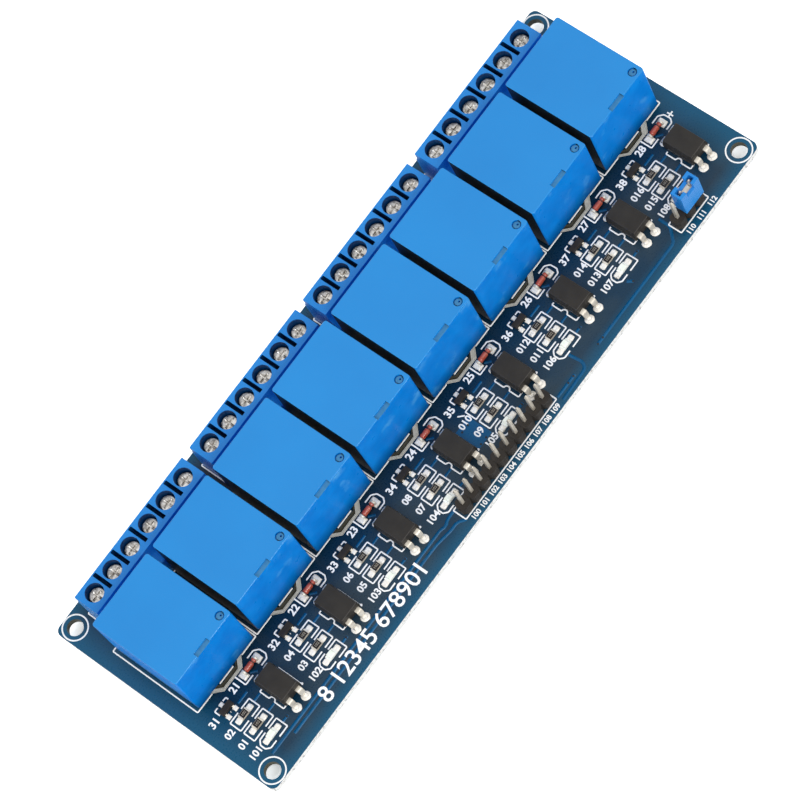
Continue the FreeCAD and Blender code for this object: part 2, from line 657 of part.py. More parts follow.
def build_header(name):
    """Model one pin header: a base of chamfered segments and its square pins."""
    first_x, count = HEADERS[name]
    base = start_body(f"{name}_header_base", x=first_x, y=HEADER_Y, z=BOARD_TOP)
    half = "Sizes.pin_pitch / 2"
    side = "Sizes.header_width / 2"
    cut = "Sizes.header_chamfer"
    segment = start_sketch(base)
    polygon(segment, [
        (f"-{half}", f"-{side} + {cut}"),
        (f"-{half} + {cut}", f"-{side}"),
        (f"{half} - {cut}", f"-{side}"),
        (half, f"-{side} + {cut}"),
        (half, f"{side} - {cut}"),
        (f"{half} - {cut}", side),
        (f"-{half} + {cut}", side),
        (f"-{half}", f"{side} - {cut}"),
    ])
    rectangle(segment, "0", "0", "Sizes.pin_size", "Sizes.pin_size")
    line_up(base, pad(base, segment, "Sizes.header_tall"), ("X_Axis", "Sizes.pin_pitch", count))

    pins = start_body(f"{name}_header_pins", x=first_x, y=HEADER_Y)
    square = start_sketch(pins, z="-Sizes.pin_below")
    rectangle(square, "0", "0", "Sizes.pin_size", "Sizes.pin_size")
    line_up(pins, pad(pins, square, f"Sizes.pin_below + {BOARD_TOP} + Sizes.pin_above"),
            ("X_Axis", "Sizes.pin_pitch", count))


def build_jumper():
    """Model the jumper on the last two power pins: a slotted cap and the spring clip inside it."""
    middle = f"{HEADERS['power'][0]} + {POWER_PINS - (JUMPER_PINS + 1) / 2} * Sizes.pin_pitch"
    seat = f"{BOARD_TOP} + Sizes.header_tall + Sizes.jumper_gap"
    cap = start_body("jumper_cap", x=middle, y=HEADER_Y, z=seat)
    outline = start_sketch(cap)
    rectangle(outline, "0", "0", "Sizes.pin_pitch + 2 * Sizes.jumper_end", "Sizes.jumper_width")
    pad(cap, outline, "Sizes.jumper_tall")
    valley = start_sketch(cap, z="Sizes.jumper_tall")
    rectangle(valley, "0", "0", "Sizes.jumper_valley",
              "Sizes.jumper_width + 2 * Sizes.cut_margin")
    pocket(cap, valley, "Sizes.jumper_valley_deep")
    slot = start_sketch(cap, z="Sizes.jumper_tall")
    rectangle(slot, "0", "0", "Sizes.pin_pitch + Sizes.pin_size + 2 * Sizes.jumper_slot_end",
              "Sizes.jumper_slot_width")
    pocket(cap, slot)

    clip = start_body("jumper_clip", x=middle, y=HEADER_Y, z=seat)
    leaf = start_sketch(clip)
    rectangle(leaf, "0", "Sizes.pin_size / 2 + Sizes.clip_thick / 2", "Sizes.pin_pitch + Sizes.pin_size",
              "Sizes.clip_thick")
    rectangle(leaf, "0", "-Sizes.pin_size / 2 - Sizes.clip_thick / 2", "Sizes.pin_pitch + Sizes.pin_size",
              "Sizes.clip_thick")
    pad(clip, leaf, "Sizes.clip_tall")
    bridge = start_sketch(clip)
    rectangle(bridge, "0", "0", "Sizes.pin_pitch - Sizes.pin_size - 2 * Sizes.jumper_gap",
              "Sizes.pin_size + 2 * Sizes.clip_thick")
    pad(clip, bridge, "Sizes.clip_tall")


build_circuit_board()
for number in range(CHANNELS):
    build_relay_cover(number)
    build_relay_base(number)
build_relay_pins()
for number in range(BLOCKS):
    build_terminal_housing(number)
    build_terminal_clamps(number)
    build_terminal_screws(number)
build_terminal_pins()
for number in range(CHANNELS):
    build_optocoupler(number)
build_optocoupler_leads()
build_diodes()
build_transistors()
build_resistors()
build_lamps()
for header in HEADERS:
    build_header(header)
build_jumper()
doc.recompute()

for item in doc.Objects:
    if "Invalid" in item.State or "Error" in item.State:
        raise RuntimeError(f"{item.Label} did not compute")

os.makedirs("parts", exist_ok=True)
for node in nodes:
    if node.Shape.isNull() or not node.Shape.isValid():
        raise RuntimeError(f"{node.Label} has no valid shape")
    node.Shape.exportStep(f"parts/{node.Label}.step")
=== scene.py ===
"""Visual model of an eight-channel relay module board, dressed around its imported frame.

Sizes in the classes are millimetres; each finished piece is handed over in metres.
X runs along the board from channel 1 to channel 8, Y from the pin header to the terminals.
"""
import logging
import math
from collections.abc import Callable, Iterable, Sequence
from dataclasses import dataclass, field
from enum import Enum

import bpy
from mathutils import Matrix, Vector


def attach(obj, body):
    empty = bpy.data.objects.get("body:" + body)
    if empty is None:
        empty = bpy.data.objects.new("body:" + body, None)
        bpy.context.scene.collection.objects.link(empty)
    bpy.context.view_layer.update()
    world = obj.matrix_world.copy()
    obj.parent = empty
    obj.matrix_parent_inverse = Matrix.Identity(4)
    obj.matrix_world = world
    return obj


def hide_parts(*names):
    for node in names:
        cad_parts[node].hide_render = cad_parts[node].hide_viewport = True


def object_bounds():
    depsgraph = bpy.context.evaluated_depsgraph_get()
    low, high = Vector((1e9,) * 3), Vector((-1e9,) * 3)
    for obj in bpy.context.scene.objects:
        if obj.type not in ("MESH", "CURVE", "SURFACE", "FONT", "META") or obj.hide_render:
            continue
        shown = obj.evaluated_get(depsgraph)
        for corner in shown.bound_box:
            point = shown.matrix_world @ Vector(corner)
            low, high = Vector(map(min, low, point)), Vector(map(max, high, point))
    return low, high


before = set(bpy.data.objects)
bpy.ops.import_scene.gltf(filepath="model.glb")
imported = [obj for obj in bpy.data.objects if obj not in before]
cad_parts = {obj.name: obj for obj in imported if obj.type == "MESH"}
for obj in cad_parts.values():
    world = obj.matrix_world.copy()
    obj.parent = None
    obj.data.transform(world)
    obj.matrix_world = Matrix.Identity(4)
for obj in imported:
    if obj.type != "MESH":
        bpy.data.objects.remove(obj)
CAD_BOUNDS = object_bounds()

LOG = logging.getLogger("relay_board")
MM = 0.001
BODY = "root"

Place = tuple[float, float, float]
Point = tuple[float, float]
Colour = tuple[float, float, float]
Section = tuple[float, float, float, float, float]


class Slot(Enum):
    """The record's material slot names, one named for each new piece."""

    MASK = "solder_mask"
    RELAY = "relay_blue"
    TERMINAL = "terminal_blue"
    SCREW = "screw_steel"
    TIN = "tinned_metal"
    PIN = "header_pin"
    BLACK = "black_moulding"
    GLASS = "diode_glass"
    WHITE = "lamp_white"


class Axis(Enum):
    """Direction of a round part, with the turn that brings Z onto it."""

    X = (0.0, math.pi / 2, 0.0)
    Z = (0.0, 0.0, 0.0)


# ---- layout


@dataclass(frozen=True)
class Layout:
    """Places that the sub-assemblies share.

    Attributes:
        top: height of the board's upper face.
        channel_pitch: spacing of the relays along X.
        first_channel: X of channel 1's centre line.
        block_pitch: spacing of the terminal blocks.
        first_block: X of the first terminal block's centre.
        coupler_side: X of an optocoupler from its channel's centre line.
        coupler_rows: Y where its two rows of leads pass through the board.
        driver_side: X of a transistor from its channel's centre line.
        chip_side: X of the chip resistors and the lamp from the channel's centre line.
        chip_rows: Y of the two resistors and the lamp.
    """

    top: float = 1.6
    channels: int = 8
    channel_pitch: float = 16.8
    first_channel: float = -58.6
    blocks: int = 4
    block_pitch: float = 32.5
    first_block: float = -48.6
    poles: int = 6
    pole_pitch: float = 5.0
    pin_pitch: float = 2.54
    header_y: float = -22.05
    input_x: float = -11.55
    input_pins: int = 10
    power_x: float = 50.75
    power_pins: int = 3
    coupler_side: float = 3.6
    coupler_rows: tuple[float, float] = (-19.45, -10.45)
    driver_side: float = -4.75
    chip_side: float = -3.75
    chip_rows: tuple[float, float, float] = (-12.45, -15.55, -18.7)

    def channel_centres(self) -> list[float]:
        """Return the X of each channel's centre line."""
        return [self.first_channel + i * self.channel_pitch for i in range(self.channels)]

    def block_centres(self) -> list[float]:
        """Return the X of each terminal block's centre."""
        return [self.first_block + i * self.block_pitch for i in range(self.blocks)]

    def pole_offsets(self) -> list[float]:
        """Return the X of each pole from its block's centre."""
        middle = (self.poles - 1) / 2
        return [(i - middle) * self.pole_pitch for i in range(self.poles)]

    def input_centres(self) -> list[Point]:
        """Return the X and Y of each pin of the input header."""
        return [(self.input_x + i * self.pin_pitch, self.header_y) for i in range(self.input_pins)]

    def power_centres(self) -> list[Point]:
        """Return the X and Y of each pin of the power header."""
        return [(self.power_x + i * self.pin_pitch, self.header_y) for i in range(self.power_pins)]


LAYOUT = Layout()


# ---- materials


class Shading:
    """A material's node tree, built on object coordinates."""

    def __init__(self, name: str) -> None:
        """Start an empty principled material.

        Args:
            name: name of the material.
        """
        self.material = bpy.data.materials.new(name)
        self.material.use_nodes = True
        self.nodes = self.material.node_tree.nodes
        self.links = self.material.node_tree.links
        self.shader = self.nodes["Principled BSDF"]
        self.place = self.nodes.new("ShaderNodeTexCoord").outputs["Object"]

    def noise(self, scale: float, detail: float = 3.0,
              stretch: Place = (1.0, 1.0, 1.0)) -> bpy.types.NodeSocket:
        """Add a noise pattern.

        Args:
            scale: cells per metre.
            detail: octaves of finer noise.
            stretch: factors on the coordinates, for a pattern that runs one way.

        Returns:
            The pattern's value output.
        """
        turn = self.nodes.new("ShaderNodeMapping")
        turn.inputs["Scale"].default_value = stretch
        texture = self.nodes.new("ShaderNodeTexNoise")
        texture.inputs["Scale"].default_value = scale
        texture.inputs["Detail"].default_value = detail
        self.links.new(self.place, turn.inputs["Vector"])
        self.links.new(turn.outputs["Vector"], texture.inputs["Vector"])
        return texture.outputs["Fac"]

    def spread(self, value: bpy.types.NodeSocket, low: float, high: float,
               start: float = 0.3, end: float = 0.7) -> bpy.types.NodeSocket:
        """Map a pattern's value to a range.

        Args:
            value: the pattern.
            low: result at start.
            high: result at end.
            start: pattern value that gives low.
            end: pattern value that gives high.

        Returns:
            The mapped value.
        """
        node = self.nodes.new("ShaderNodeMapRange")
        for socket, number in (("From Min", start), ("From Max", end), ("To Min", low), ("To Max", high)):
            node.inputs[socket].default_value = number
        self.links.new(value, node.inputs["Value"])
        return node.outputs["Result"]

    def mix(self, share: bpy.types.NodeSocket, first: Colour | bpy.types.NodeSocket,
            second: Colour | bpy.types.NodeSocket) -> bpy.types.NodeSocket:
        """Mix two colours.

        Args:
            share: 0 gives the first colour, 1 the second.
            first: a colour, or another mix.
            second: a colour, or another mix.

        Returns:
            The mixed colour.
        """
        node = self.nodes.new("ShaderNodeMix")
        node.data_type = "RGBA"
        self.links.new(share, node.inputs["Factor"])
        for socket, colour in ((node.inputs[6], first), (node.inputs[7], second)):
            if isinstance(colour, tuple):
                socket.default_value = (*colour, 1.0)
            else:
                self.links.new(colour, socket)
        return node.outputs[2]

    def emboss(self, height: bpy.types.NodeSocket, strength: float, distance: float) -> None:
        """Raise the surface by a pattern.

        Args:
            height: the pattern.
            strength: share of the effect.
            distance: height in millimetres.
        """
        bump = self.nodes.new("ShaderNodeBump")
        bump.inputs["Strength"].default_value = strength
        bump.inputs["Distance"].default_value = distance * MM
        self.links.new(height, bump.inputs["Height"])
        self.links.new(bump.outputs["Normal"], self.shader.inputs["Normal"])

    def set(self, **sockets: float | tuple[float, float, float, float]) -> None:
        """Set sockets of the shader; an underscore in a name stands for a space."""
        for name, number in sockets.items():
            self.shader.inputs[name.replace("_", " ")].default_value = number

    def paint(self, **sockets: bpy.types.NodeSocket) -> None:
        """Link patterns to sockets of the shader."""
        for name, value in sockets.items():
            self.links.new(value, self.shader.inputs[name.replace("_", " ")])


# Share of the colour left at the foot of a face under its painted shade.
PAINTED_FOOT_SHADE = 0.25
# Size and threshold of the sparse wisps: painted reflections on the relay sides, dark flecks on the solder.
WISP_SCALE = 0.7
WISP_RANGE = (0.60, 0.76)


@dataclass(frozen=True)
class Finish:
    """A moulded, plated or printed finish.

    Attributes:
        name: name of the material.
        colour: main colour.
        shade: colour that the mottling drifts to.
        smooth: roughness where the surface is smoothest.
        rough: roughness where it is roughest.
        metal: 1 for a metal.
        mottle: size of the mottling, in cells per metre.
        grain: size of the surface grain, in cells per metre.
        relief: height of the grain in millimetres.
        stretch: factors that draw the grain out one way.
        coat: weight of a clear top layer.
        gloss: level of the mirror reflection, 0.5 for common plastic.
        foot: heights in millimetres between which painted shade fades: the colour is darkest below the
            first and whole above the second.
        fleck: colour of sparse wisps, where there are any: painted reflections on the relay sides, dark
            flecks on the solder.
        glow: painted light given off, which keeps white ink, solder and the lamp's white body bright in the
            shade.
    """

    name: str
    colour: Colour
    shade: Colour
    smooth: float
    rough: float
    metal: float = 0.0
    mottle: float = 120.0
    grain: float = 4000.0
    relief: float = 0.01
    stretch: Place = (1.0, 1.0, 1.0)
    coat: float = 0.0
    gloss: float = 0.5
    foot: tuple[float, float] | None = None
    fleck: Colour | None = None
    glow: float = 0.0

    def material(self) -> bpy.types.Material:
        """Build the material.

        Returns:
            The node-based material.
        """
        shading = Shading(self.name)
        drift = shading.noise(self.mottle)
        grain = shading.noise(self.grain, 4.0, self.stretch)
        colour = shading.mix(shading.spread(drift, 0.0, 1.0), self.colour, self.shade)
        # Sparse wisps: painted reflections on the relay sides, dark flecks on the solder.
        if self.fleck is not None:
            wisps = shading.spread(shading.noise(self.mottle * WISP_SCALE, 5.0), 0.0, 1.0, *WISP_RANGE)
            colour = shading.mix(wisps, colour, self.fleck)
        # Painted shade: the colour darkens towards the foot of the face.
        if self.foot is not None:
            split = shading.nodes.new("ShaderNodeSeparateXYZ")
            shading.links.new(shading.place, split.inputs["Vector"])
            low, high = (z * MM for z in self.foot)
            shaded_foot = tuple(PAINTED_FOOT_SHADE * value for value in self.colour)
            colour = shading.mix(shading.spread(split.outputs["Z"], 0.0, 1.0, low, high), shaded_foot, colour)
        shading.paint(Base_Color=colour, Roughness=shading.spread(grain, self.smooth, self.rough))
        shading.emboss(grain, 0.6, self.relief)
        # Emission is painted light that keeps ink, solder and the lamp's body bright in the shade.
        shading.set(Metallic=self.metal, Coat_Weight=self.coat, Specular_IOR_Level=self.gloss,
                    Emission_Strength=self.glow, Emission_Color=(*self.colour, 1.0))
        return shading.material


@dataclass(frozen=True)
class BoardFinish:
    """Laminate with solder mask on both faces and bare glass fibre at every cut edge.

    Attributes:
        name: name of the material.
        slate: main colour of the mask.
        navy: colour that it drifts to.
        shade: colour of the painted shade on the mask beside the relays.
        teal: colour of the mask along the board's edges.
        fibre: walls of the holes and slots, the laminate's colour darkened as painted shade.
        fibre_dark: colour of their weave, darkened the same way.
        rim: the board's routed outer edge.
        rim_dark: colour of the marks on it.
        skin: thickness of the mask.
        thick: thickness of the board.
        half_length: half its size along X.
        half_width: half its size along Y.
        relay_edge: Y where the painted shade starts and where it is whole.
        long_edge: distance from the X axis where the teal starts and is whole.
        short_edge: distance from the Y axis where the teal starts and is whole.
        cut_depth: depth inside the outline where the routed edge starts and is whole.
    """

    name: str = "board_laminate"
    slate: Colour = (0.022, 0.050, 0.078)
    navy: Colour = (0.003, 0.034, 0.074)
    shade: Colour = (0.001, 0.020, 0.048)
    teal: Colour = (0.004, 0.092, 0.185)
    fibre: Colour = (0.15, 0.145, 0.105)
    fibre_dark: Colour = (0.08, 0.076, 0.052)
    rim: Colour = (0.98, 0.98, 0.96)
    rim_dark: Colour = (0.46, 0.44, 0.43)
    skin: float = 0.04
    thick: float = 1.6
    half_length: float = 70.0
    half_width: float = 25.3
    relay_edge: Point = (-12.0, -8.5)
    long_edge: Point = (22.2, 25.2)
    short_edge: Point = (62.5, 69.0)
    cut_depth: Point = (0.4, 0.3)

    def material(self) -> bpy.types.Material:
        """Build the material.

        Returns:
            The node-based material.
        """
        shading = Shading(self.name)
        split = shading.nodes.new("ShaderNodeSeparateXYZ")
        shading.links.new(shading.place, split.inputs["Vector"])
        core = self.thick / 2
        middle = self.compare(shading, split.outputs["Z"], core * MM, (core - self.skin) * MM)
        wide = self.absolute(shading, split.outputs["Y"])
        long = self.absolute(shading, split.outputs["X"])
        cloud = shading.spread(shading.noise(75.0, 3.0), 0.0, 1.0, 0.42, 0.58)
        mask = shading.mix(cloud, self.slate, self.navy)
        # Painted shade of the relays on the mask, growing towards them.
        painted_relay_shade = shading.spread(split.outputs["Y"], 0.0, 0.8, *(y * MM for y in self.relay_edge))
        mask = shading.mix(painted_relay_shade, mask, self.shade)
        for reach, band in ((wide, self.long_edge), (long, self.short_edge)):
            share = shading.spread(reach, 0.0, 1.0, *(place * MM for place in band))
            mask = shading.mix(share, mask, self.teal)
        # Hole and slot walls: laminate colour with its weave, darkened as painted shade.
        weave = shading.spread(shading.noise(900.0, 4.0, (1.0, 1.0, 6.0)), 0.0, 1.0)
        laminate = shading.mix(weave, self.fibre, self.fibre_dark)
        outside = shading.nodes.new("ShaderNodeMath")
        outside.operation = "MAXIMUM"
        for socket, reach, half in ((0, wide, self.half_width), (1, long, self.half_length)):
            edge = shading.spread(reach, 0.0, 1.0, *((half - depth) * MM for depth in self.cut_depth))
            shading.links.new(edge, outside.inputs[socket])
        marks = shading.spread(shading.noise(1500.0, 2.0), 0.0, 1.0, 0.52, 0.70)
        routed = shading.mix(marks, self.rim, self.rim_dark)
        laminate = shading.mix(outside.outputs[0], laminate, routed)
        fine = shading.noise(2600.0, 3.0)
        shading.paint(Base_Color=shading.mix(middle, mask, laminate),
                      Roughness=shading.spread(fine, 0.24, 0.36))
        shading.emboss(fine, 0.35, 0.008)
        shading.set(Specular_IOR_Level=0.28)
        return shading.material

    @staticmethod
    def absolute(shading: Shading, value: bpy.types.NodeSocket) -> bpy.types.NodeSocket:
        """Return a value without its sign.

        Args:
            shading: the material being built.
            value: the value.

        Returns:
            Its size.
        """
        node = shading.nodes.new("ShaderNodeMath")
        node.operation = "ABSOLUTE"
        shading.links.new(value, node.inputs[0])
        return node.outputs[0]

    @staticmethod
    def compare(shading: Shading, value: bpy.types.NodeSocket, centre: float,
                reach: float) -> bpy.types.NodeSocket:
        """Tell where a value lies near a centre.

        Args:
            shading: the material being built.
            value: the value to test.
            centre: middle of the band.
            reach: half the width of the band.

        Returns:
            1 inside the band and 0 outside.
        """
        node = shading.nodes.new("ShaderNodeMath")
        node.operation = "COMPARE"
        node.inputs[1].default_value = centre
        node.inputs[2].default_value = reach
        shading.links.new(value, node.inputs[0])
        return node.outputs[0]


class Palette:
    """Every finish of the board, each built once."""

    def __init__(self) -> None:
        """Build the materials."""
        finishes = [
            Finish("relay_plastic", (0.004, 0.285, 0.770), (0.003, 0.262, 0.725), 0.16, 0.26,
                   mottle=60.0, grain=9000.0, relief=0.003),
            # Relay sides: the top's blue plastic made a little darker as painted shade, with painted shade
            # at the foot and pale wisps as painted reflections.
            Finish("relay_side_painted_shade", (0.000, 0.222, 0.780), (0.002, 0.280, 0.880), 0.26, 0.42,
                   mottle=300.0, grain=700.0, relief=0.02, gloss=0.08, foot=(1.5, 6.5),
                   fleck=(0.110, 0.480, 0.950)),
            # Near-black painted shade for the faces in the gaps between the relays and inside the cases.
            Finish("relay_gap_painted_shade", (0.016, 0.030, 0.046), (0.005, 0.012, 0.022), 0.35, 0.50, gloss=0.3),
            # Sunk notch and vent floors: rough matte texture, with a darker, greyer colour as painted shade
            # of the recess.
            Finish("relay_texture_and_shade", (0.050, 0.250, 0.500), (0.030, 0.200, 0.430), 0.55, 0.70,
                   mottle=1500.0, grain=9000.0, relief=0.02),
            Finish("relay_base_plastic", (0.002, 0.022, 0.065), (0.002, 0.015, 0.045), 0.45, 0.60),
            Finish("terminal_plastic", (0.020, 0.285, 0.790), (0.014, 0.255, 0.740), 0.22, 0.34,
                   mottle=80.0, grain=7000.0, relief=0.006, gloss=0.35),
            # Walls of the wells, grooves and wire entries: the housing's blue darkened as painted shade.
            Finish("terminal_hollow_painted_shade", (0.001, 0.058, 0.190), (0.001, 0.034, 0.125), 0.40, 0.55,
                   mottle=300.0, gloss=0.12),
            Finish("clamp_plating", (0.50, 0.50, 0.48), (0.38, 0.38, 0.36), 0.25, 0.45, metal=1.0),
            Finish("screw_plating", (1.00, 0.98, 0.94), (0.34, 0.31, 0.27), 0.24, 0.46, metal=0.9,
                   mottle=1500.0, grain=1900.0, relief=0.10),
            Finish("tinned_lead", (0.95, 0.89, 0.77), (0.66, 0.60, 0.50), 0.26, 0.44, metal=0.3,
                   mottle=900.0),
            # Solder glows a little: painted light.
            Finish("solder", (1.00, 0.97, 0.89), (0.92, 0.87, 0.80), 0.28, 0.46, metal=0.1, mottle=1300.0,
                   grain=1700.0, relief=0.05, glow=0.09, fleck=(0.13, 0.12, 0.11)),
            Finish("pin_plating", (0.84, 0.78, 0.67), (0.56, 0.51, 0.42), 0.24, 0.42, metal=0.5,
                   mottle=500.0, stretch=(1.0, 1.0, 0.1)),
            Finish("black_moulding", (0.020, 0.016, 0.013), (0.034, 0.028, 0.022), 0.45, 0.65, mottle=450.0,
                   grain=9000.0, relief=0.012, gloss=0.3),
            Finish("package_top", (0.022, 0.019, 0.016), (0.032, 0.028, 0.023), 0.42, 0.60, mottle=400.0,
                   grain=11000.0, relief=0.012, gloss=0.3),
            # Lighter sloped faces of the coupler packages: painted highlight along their edges.
            Finish("moulding_edge_highlight", (0.070, 0.062, 0.055), (0.045, 0.040, 0.035), 0.40, 0.55, mottle=700.0),
            Finish("diode_glass", (0.52, 0.065, 0.030), (0.66, 0.150, 0.090), 0.08, 0.16,
                   mottle=1100.0, coat=0.5),
            Finish("diode_plug", (0.080, 0.022, 0.014), (0.150, 0.040, 0.025), 0.15, 0.30, mottle=900.0),
            # The lamp's body and lens glow a little: painted light that keeps them white.
            Finish("lamp_body", (0.97, 0.98, 0.94), (0.88, 0.90, 0.84), 0.30, 0.45, glow=0.10),
            Finish("lamp_lens", (1.00, 1.00, 0.94), (0.82, 0.92, 0.76), 0.08, 0.16, coat=0.4, mottle=1500.0,
                   glow=0.14),
            # Silk ink glows a little: painted light that keeps it white in the shade.
            Finish("silk_ink", (1.00, 1.00, 1.00), (0.94, 0.95, 0.95), 0.45, 0.60, mottle=600.0, glow=0.15),
            Finish("covered_copper", (0.001, 0.110, 0.270), (0.002, 0.092, 0.225), 0.24, 0.36,
                   mottle=400.0, gloss=0.25),
            Finish("via_shadow", (0.003, 0.008, 0.014), (0.006, 0.014, 0.022), 0.40, 0.60),
            Finish("resistor_glaze", (0.012, 0.009, 0.008), (0.022, 0.017, 0.014), 0.30, 0.42, gloss=0.3),
            Finish("ceramic", (0.60, 0.54, 0.44), (0.46, 0.40, 0.32), 0.45, 0.60),
            Finish("figure_ink", (0.52, 0.46, 0.36), (0.42, 0.37, 0.29), 0.45, 0.60),
        ]
        self.materials = {finish.name: finish.material() for finish in finishes}
        self.materials[BoardFinish.name] = BoardFinish().material()

    def __getitem__(self, name: str) -> bpy.types.Material:
        """Return a material by name."""
        return self.materials[name]


# ---- modelling operations


class Bench:
    """Modelling operations that the sub-assemblies share, in millimetres."""

    @staticmethod
    def only(*pieces: bpy.types.Object) -> None:
        """Select these pieces alone; the first is active."""
        bpy.ops.object.select_all(action="DESELECT")
        for piece in pieces:
            piece.select_set(True)
        if pieces:
            bpy.context.view_layer.objects.active = pieces[0]

    @classmethod
    def settle(cls, piece: bpy.types.Object) -> bpy.types.Object:
        """Apply a piece's place, turn and size to its mesh.

        Args:
            piece: the piece.

        Returns:
            The same piece.
        """
        cls.only(piece)
        bpy.ops.object.transform_apply(location=True, rotation=True, scale=True)
        return piece

    @classmethod
    def block(cls, name: str, low: Place, high: Place) -> bpy.types.Object:
        """Add a block between two corners.

        Args:
            name: name of the piece.
            low: lowest corner.
            high: highest corner.

        Returns:
            The new piece.
        """
        cls.only()
        middle = [(a + b) / 2 for a, b in zip(low, high)]
        bpy.ops.mesh.primitive_cube_add(size=1, location=middle)
        piece = bpy.context.object
        piece.name = name
        piece.scale = [b - a for a, b in zip(low, high)]
        return cls.settle(piece)

    @classmethod
    def drum(cls, name: str, centre: Place, radius: float, depth: float, axis: Axis = Axis.Z,
             sides: int = 40, tip: float | None = None) -> bpy.types.Object:
        """Add a round block or a cone frustum.

        Args:
            name: name of the piece.
            centre: its middle.
            radius: radius at the lower end.
            depth: length along the axis.
            axis: direction of the axis.
            sides: faces round it.
            tip: radius at the upper end, where it differs.

        Returns:
            The new piece.
        """
        cls.only()
        upper = radius if tip is None else tip
        bpy.ops.mesh.primitive_cone_add(vertices=sides, radius1=radius, radius2=upper, depth=depth,
                                        location=centre, rotation=axis.value)
        piece = bpy.context.object
        piece.name = name
        return cls.settle(piece)

    @classmethod
    def pick(cls, piece: bpy.types.Object, faces: Callable[[Vector, Vector], bool] | None = None,
             edges: Callable[[Vector, Vector], bool] | None = None) -> None:
        """Open a piece for editing with the matching faces or edges selected.

        Args:
            piece: the piece.
            faces: test on a face's centre and normal.
            edges: test on an edge's two ends, used when faces is None.
        """
        cls.only(piece)
        bpy.ops.object.mode_set(mode="EDIT")
        bpy.ops.mesh.select_mode(type="EDGE" if faces is None else "FACE")
        bpy.ops.mesh.select_all(action="DESELECT")
        bpy.ops.object.mode_set(mode="OBJECT")
        mesh = piece.data
        if faces is None:
            spots = [vertex.co for vertex in mesh.vertices]
            for edge in mesh.edges:
                edge.select = edges(spots[edge.vertices[0]], spots[edge.vertices[1]])
        else:
            for face in mesh.polygons:
                face.select = faces(face.center, face.normal)
        bpy.ops.object.mode_set(mode="EDIT")

    @classmethod
    def round_edges(cls, piece: bpy.types.Object, edges: Callable[[Vector, Vector], bool], width: float,
                    segments: int = 3) -> None:
        """Round the edges that pass a test.

        Args:
            piece: the piece.
            edges: test on an edge's two ends.
            width: size of the rounding.
            segments: steps across it.
        """
        cls.pick(piece, edges=edges)
        bpy.ops.mesh.bevel(offset=width, segments=segments, affect="EDGES")
        bpy.ops.object.mode_set(mode="OBJECT")

    @classmethod
    def loft(cls, name: str, sections: Sequence[Section]) -> bpy.types.Object:
        """Raise a block through rectangular sections, extruding its top face to each in turn.

        Args:
            name: name of the piece.
            sections: centre X, centre Y, width, depth and height of each section, from below.

        Returns:
            The new piece.
        """
        x, y, wide, deep, z = sections[0]
        top = sections[1][4]
        piece = cls.block(name, (x - wide / 2, y - deep / 2, z), (x + wide / 2, y + deep / 2, top))
        cls.pick(piece, faces=lambda centre, normal: normal.z > 0.9)
        for number, section in enumerate(sections[1:]):
            if number:
                bpy.ops.mesh.extrude_region_move(TRANSFORM_OT_translate={"value": (0, 0, section[4] - top)})
            top = section[4]
            bpy.ops.transform.resize(value=(section[2] / wide, section[3] / deep, 1),
                                     center_override=(x, y, top))
            bpy.ops.transform.translate(value=(section[0] - x, section[1] - y, 0))
            x, y, wide, deep = section[:4]
        bpy.ops.object.mode_set(mode="OBJECT")
        return piece

    @classmethod
    def strip(cls, name: str, x: float, spine: Sequence[Place], thick: float) -> bpy.types.Object:
        """Bend a flat strip along a line; its first run is level.

        Args:
            name: name of the piece.
            x: middle of the strip along X.
            spine: Y, Z and width at each point of the line.
            thick: thickness of the strip.

        Returns:
            The new piece, with rounded edges.
        """
        (y, z, wide), (end, _, _) = spine[:2]
        cls.only()
        bpy.ops.mesh.primitive_plane_add(size=1, location=(x, (y + end) / 2, z))
        piece = bpy.context.object
        piece.name = name
        piece.scale = (wide, abs(end - y), 1)
        cls.settle(piece)
        cls.pick(piece, edges=lambda a, b: abs(a.y - end) < 1e-4 and abs(b.y - end) < 1e-4)
        y = end
        for next_y, next_z, next_wide in spine[2:]:
            bpy.ops.mesh.extrude_region_move(TRANSFORM_OT_translate={"value": (0, next_y - y, next_z - z)})
            bpy.ops.transform.resize(value=(next_wide / wide, 1, 1), center_override=(x, next_y, next_z))
            y, z, wide = next_y, next_z, next_wide
        bpy.ops.object.mode_set(mode="OBJECT")
        cls.apply(piece, "SOLIDIFY", thickness=thick, offset=0.0)
        cls.face_outwards(piece)
        cls.soften(piece, thick * 0.22, 1)
        return piece

    @classmethod
    def apply(cls, piece: bpy.types.Object, kind: str, **settings: object) -> None:
        """Add a modifier and apply it.

        Args:
            piece: the piece.
            kind: type of the modifier.
            settings: its settings.
        """
        cls.only(piece)
        modifier = piece.modifiers.new(kind.title(), kind)
        for name, value in settings.items():
            setattr(modifier, name, value)
        bpy.ops.object.modifier_apply(modifier=modifier.name)

    @classmethod
    def soften(cls, piece: bpy.types.Object, width: float, segments: int = 2, angle: float = 40.0) -> None:
        """Round every sharp edge a little and smooth the shading between flat faces.

        Args:
            piece: the piece.
            width: size of the rounding.
            segments: steps across it.
            angle: edges sharper than this many degrees are rounded.
        """
        cls.apply(piece, "BEVEL", width=width, segments=segments, limit_method="ANGLE",
                  angle_limit=math.radians(angle))
        cls.smooth(piece)

    @classmethod
    def smooth(cls, piece: bpy.types.Object, angle: float = 40.0) -> None:
        """Smooth the shading across edges under an angle, keeping flat faces flat."""
        cls.only(piece)
        bpy.ops.object.shade_smooth_by_angle(angle=math.radians(angle))
        cls.apply(piece, "WEIGHTED_NORMAL", keep_sharp=True)

    @classmethod
    def face_outwards(cls, piece: bpy.types.Object) -> None:
        """Turn every face of a piece outwards."""
        cls.pick(piece, faces=lambda centre, normal: True)
        bpy.ops.mesh.select_all(action="SELECT")
        bpy.ops.mesh.normals_make_consistent(inside=False)
        bpy.ops.object.mode_set(mode="OBJECT")

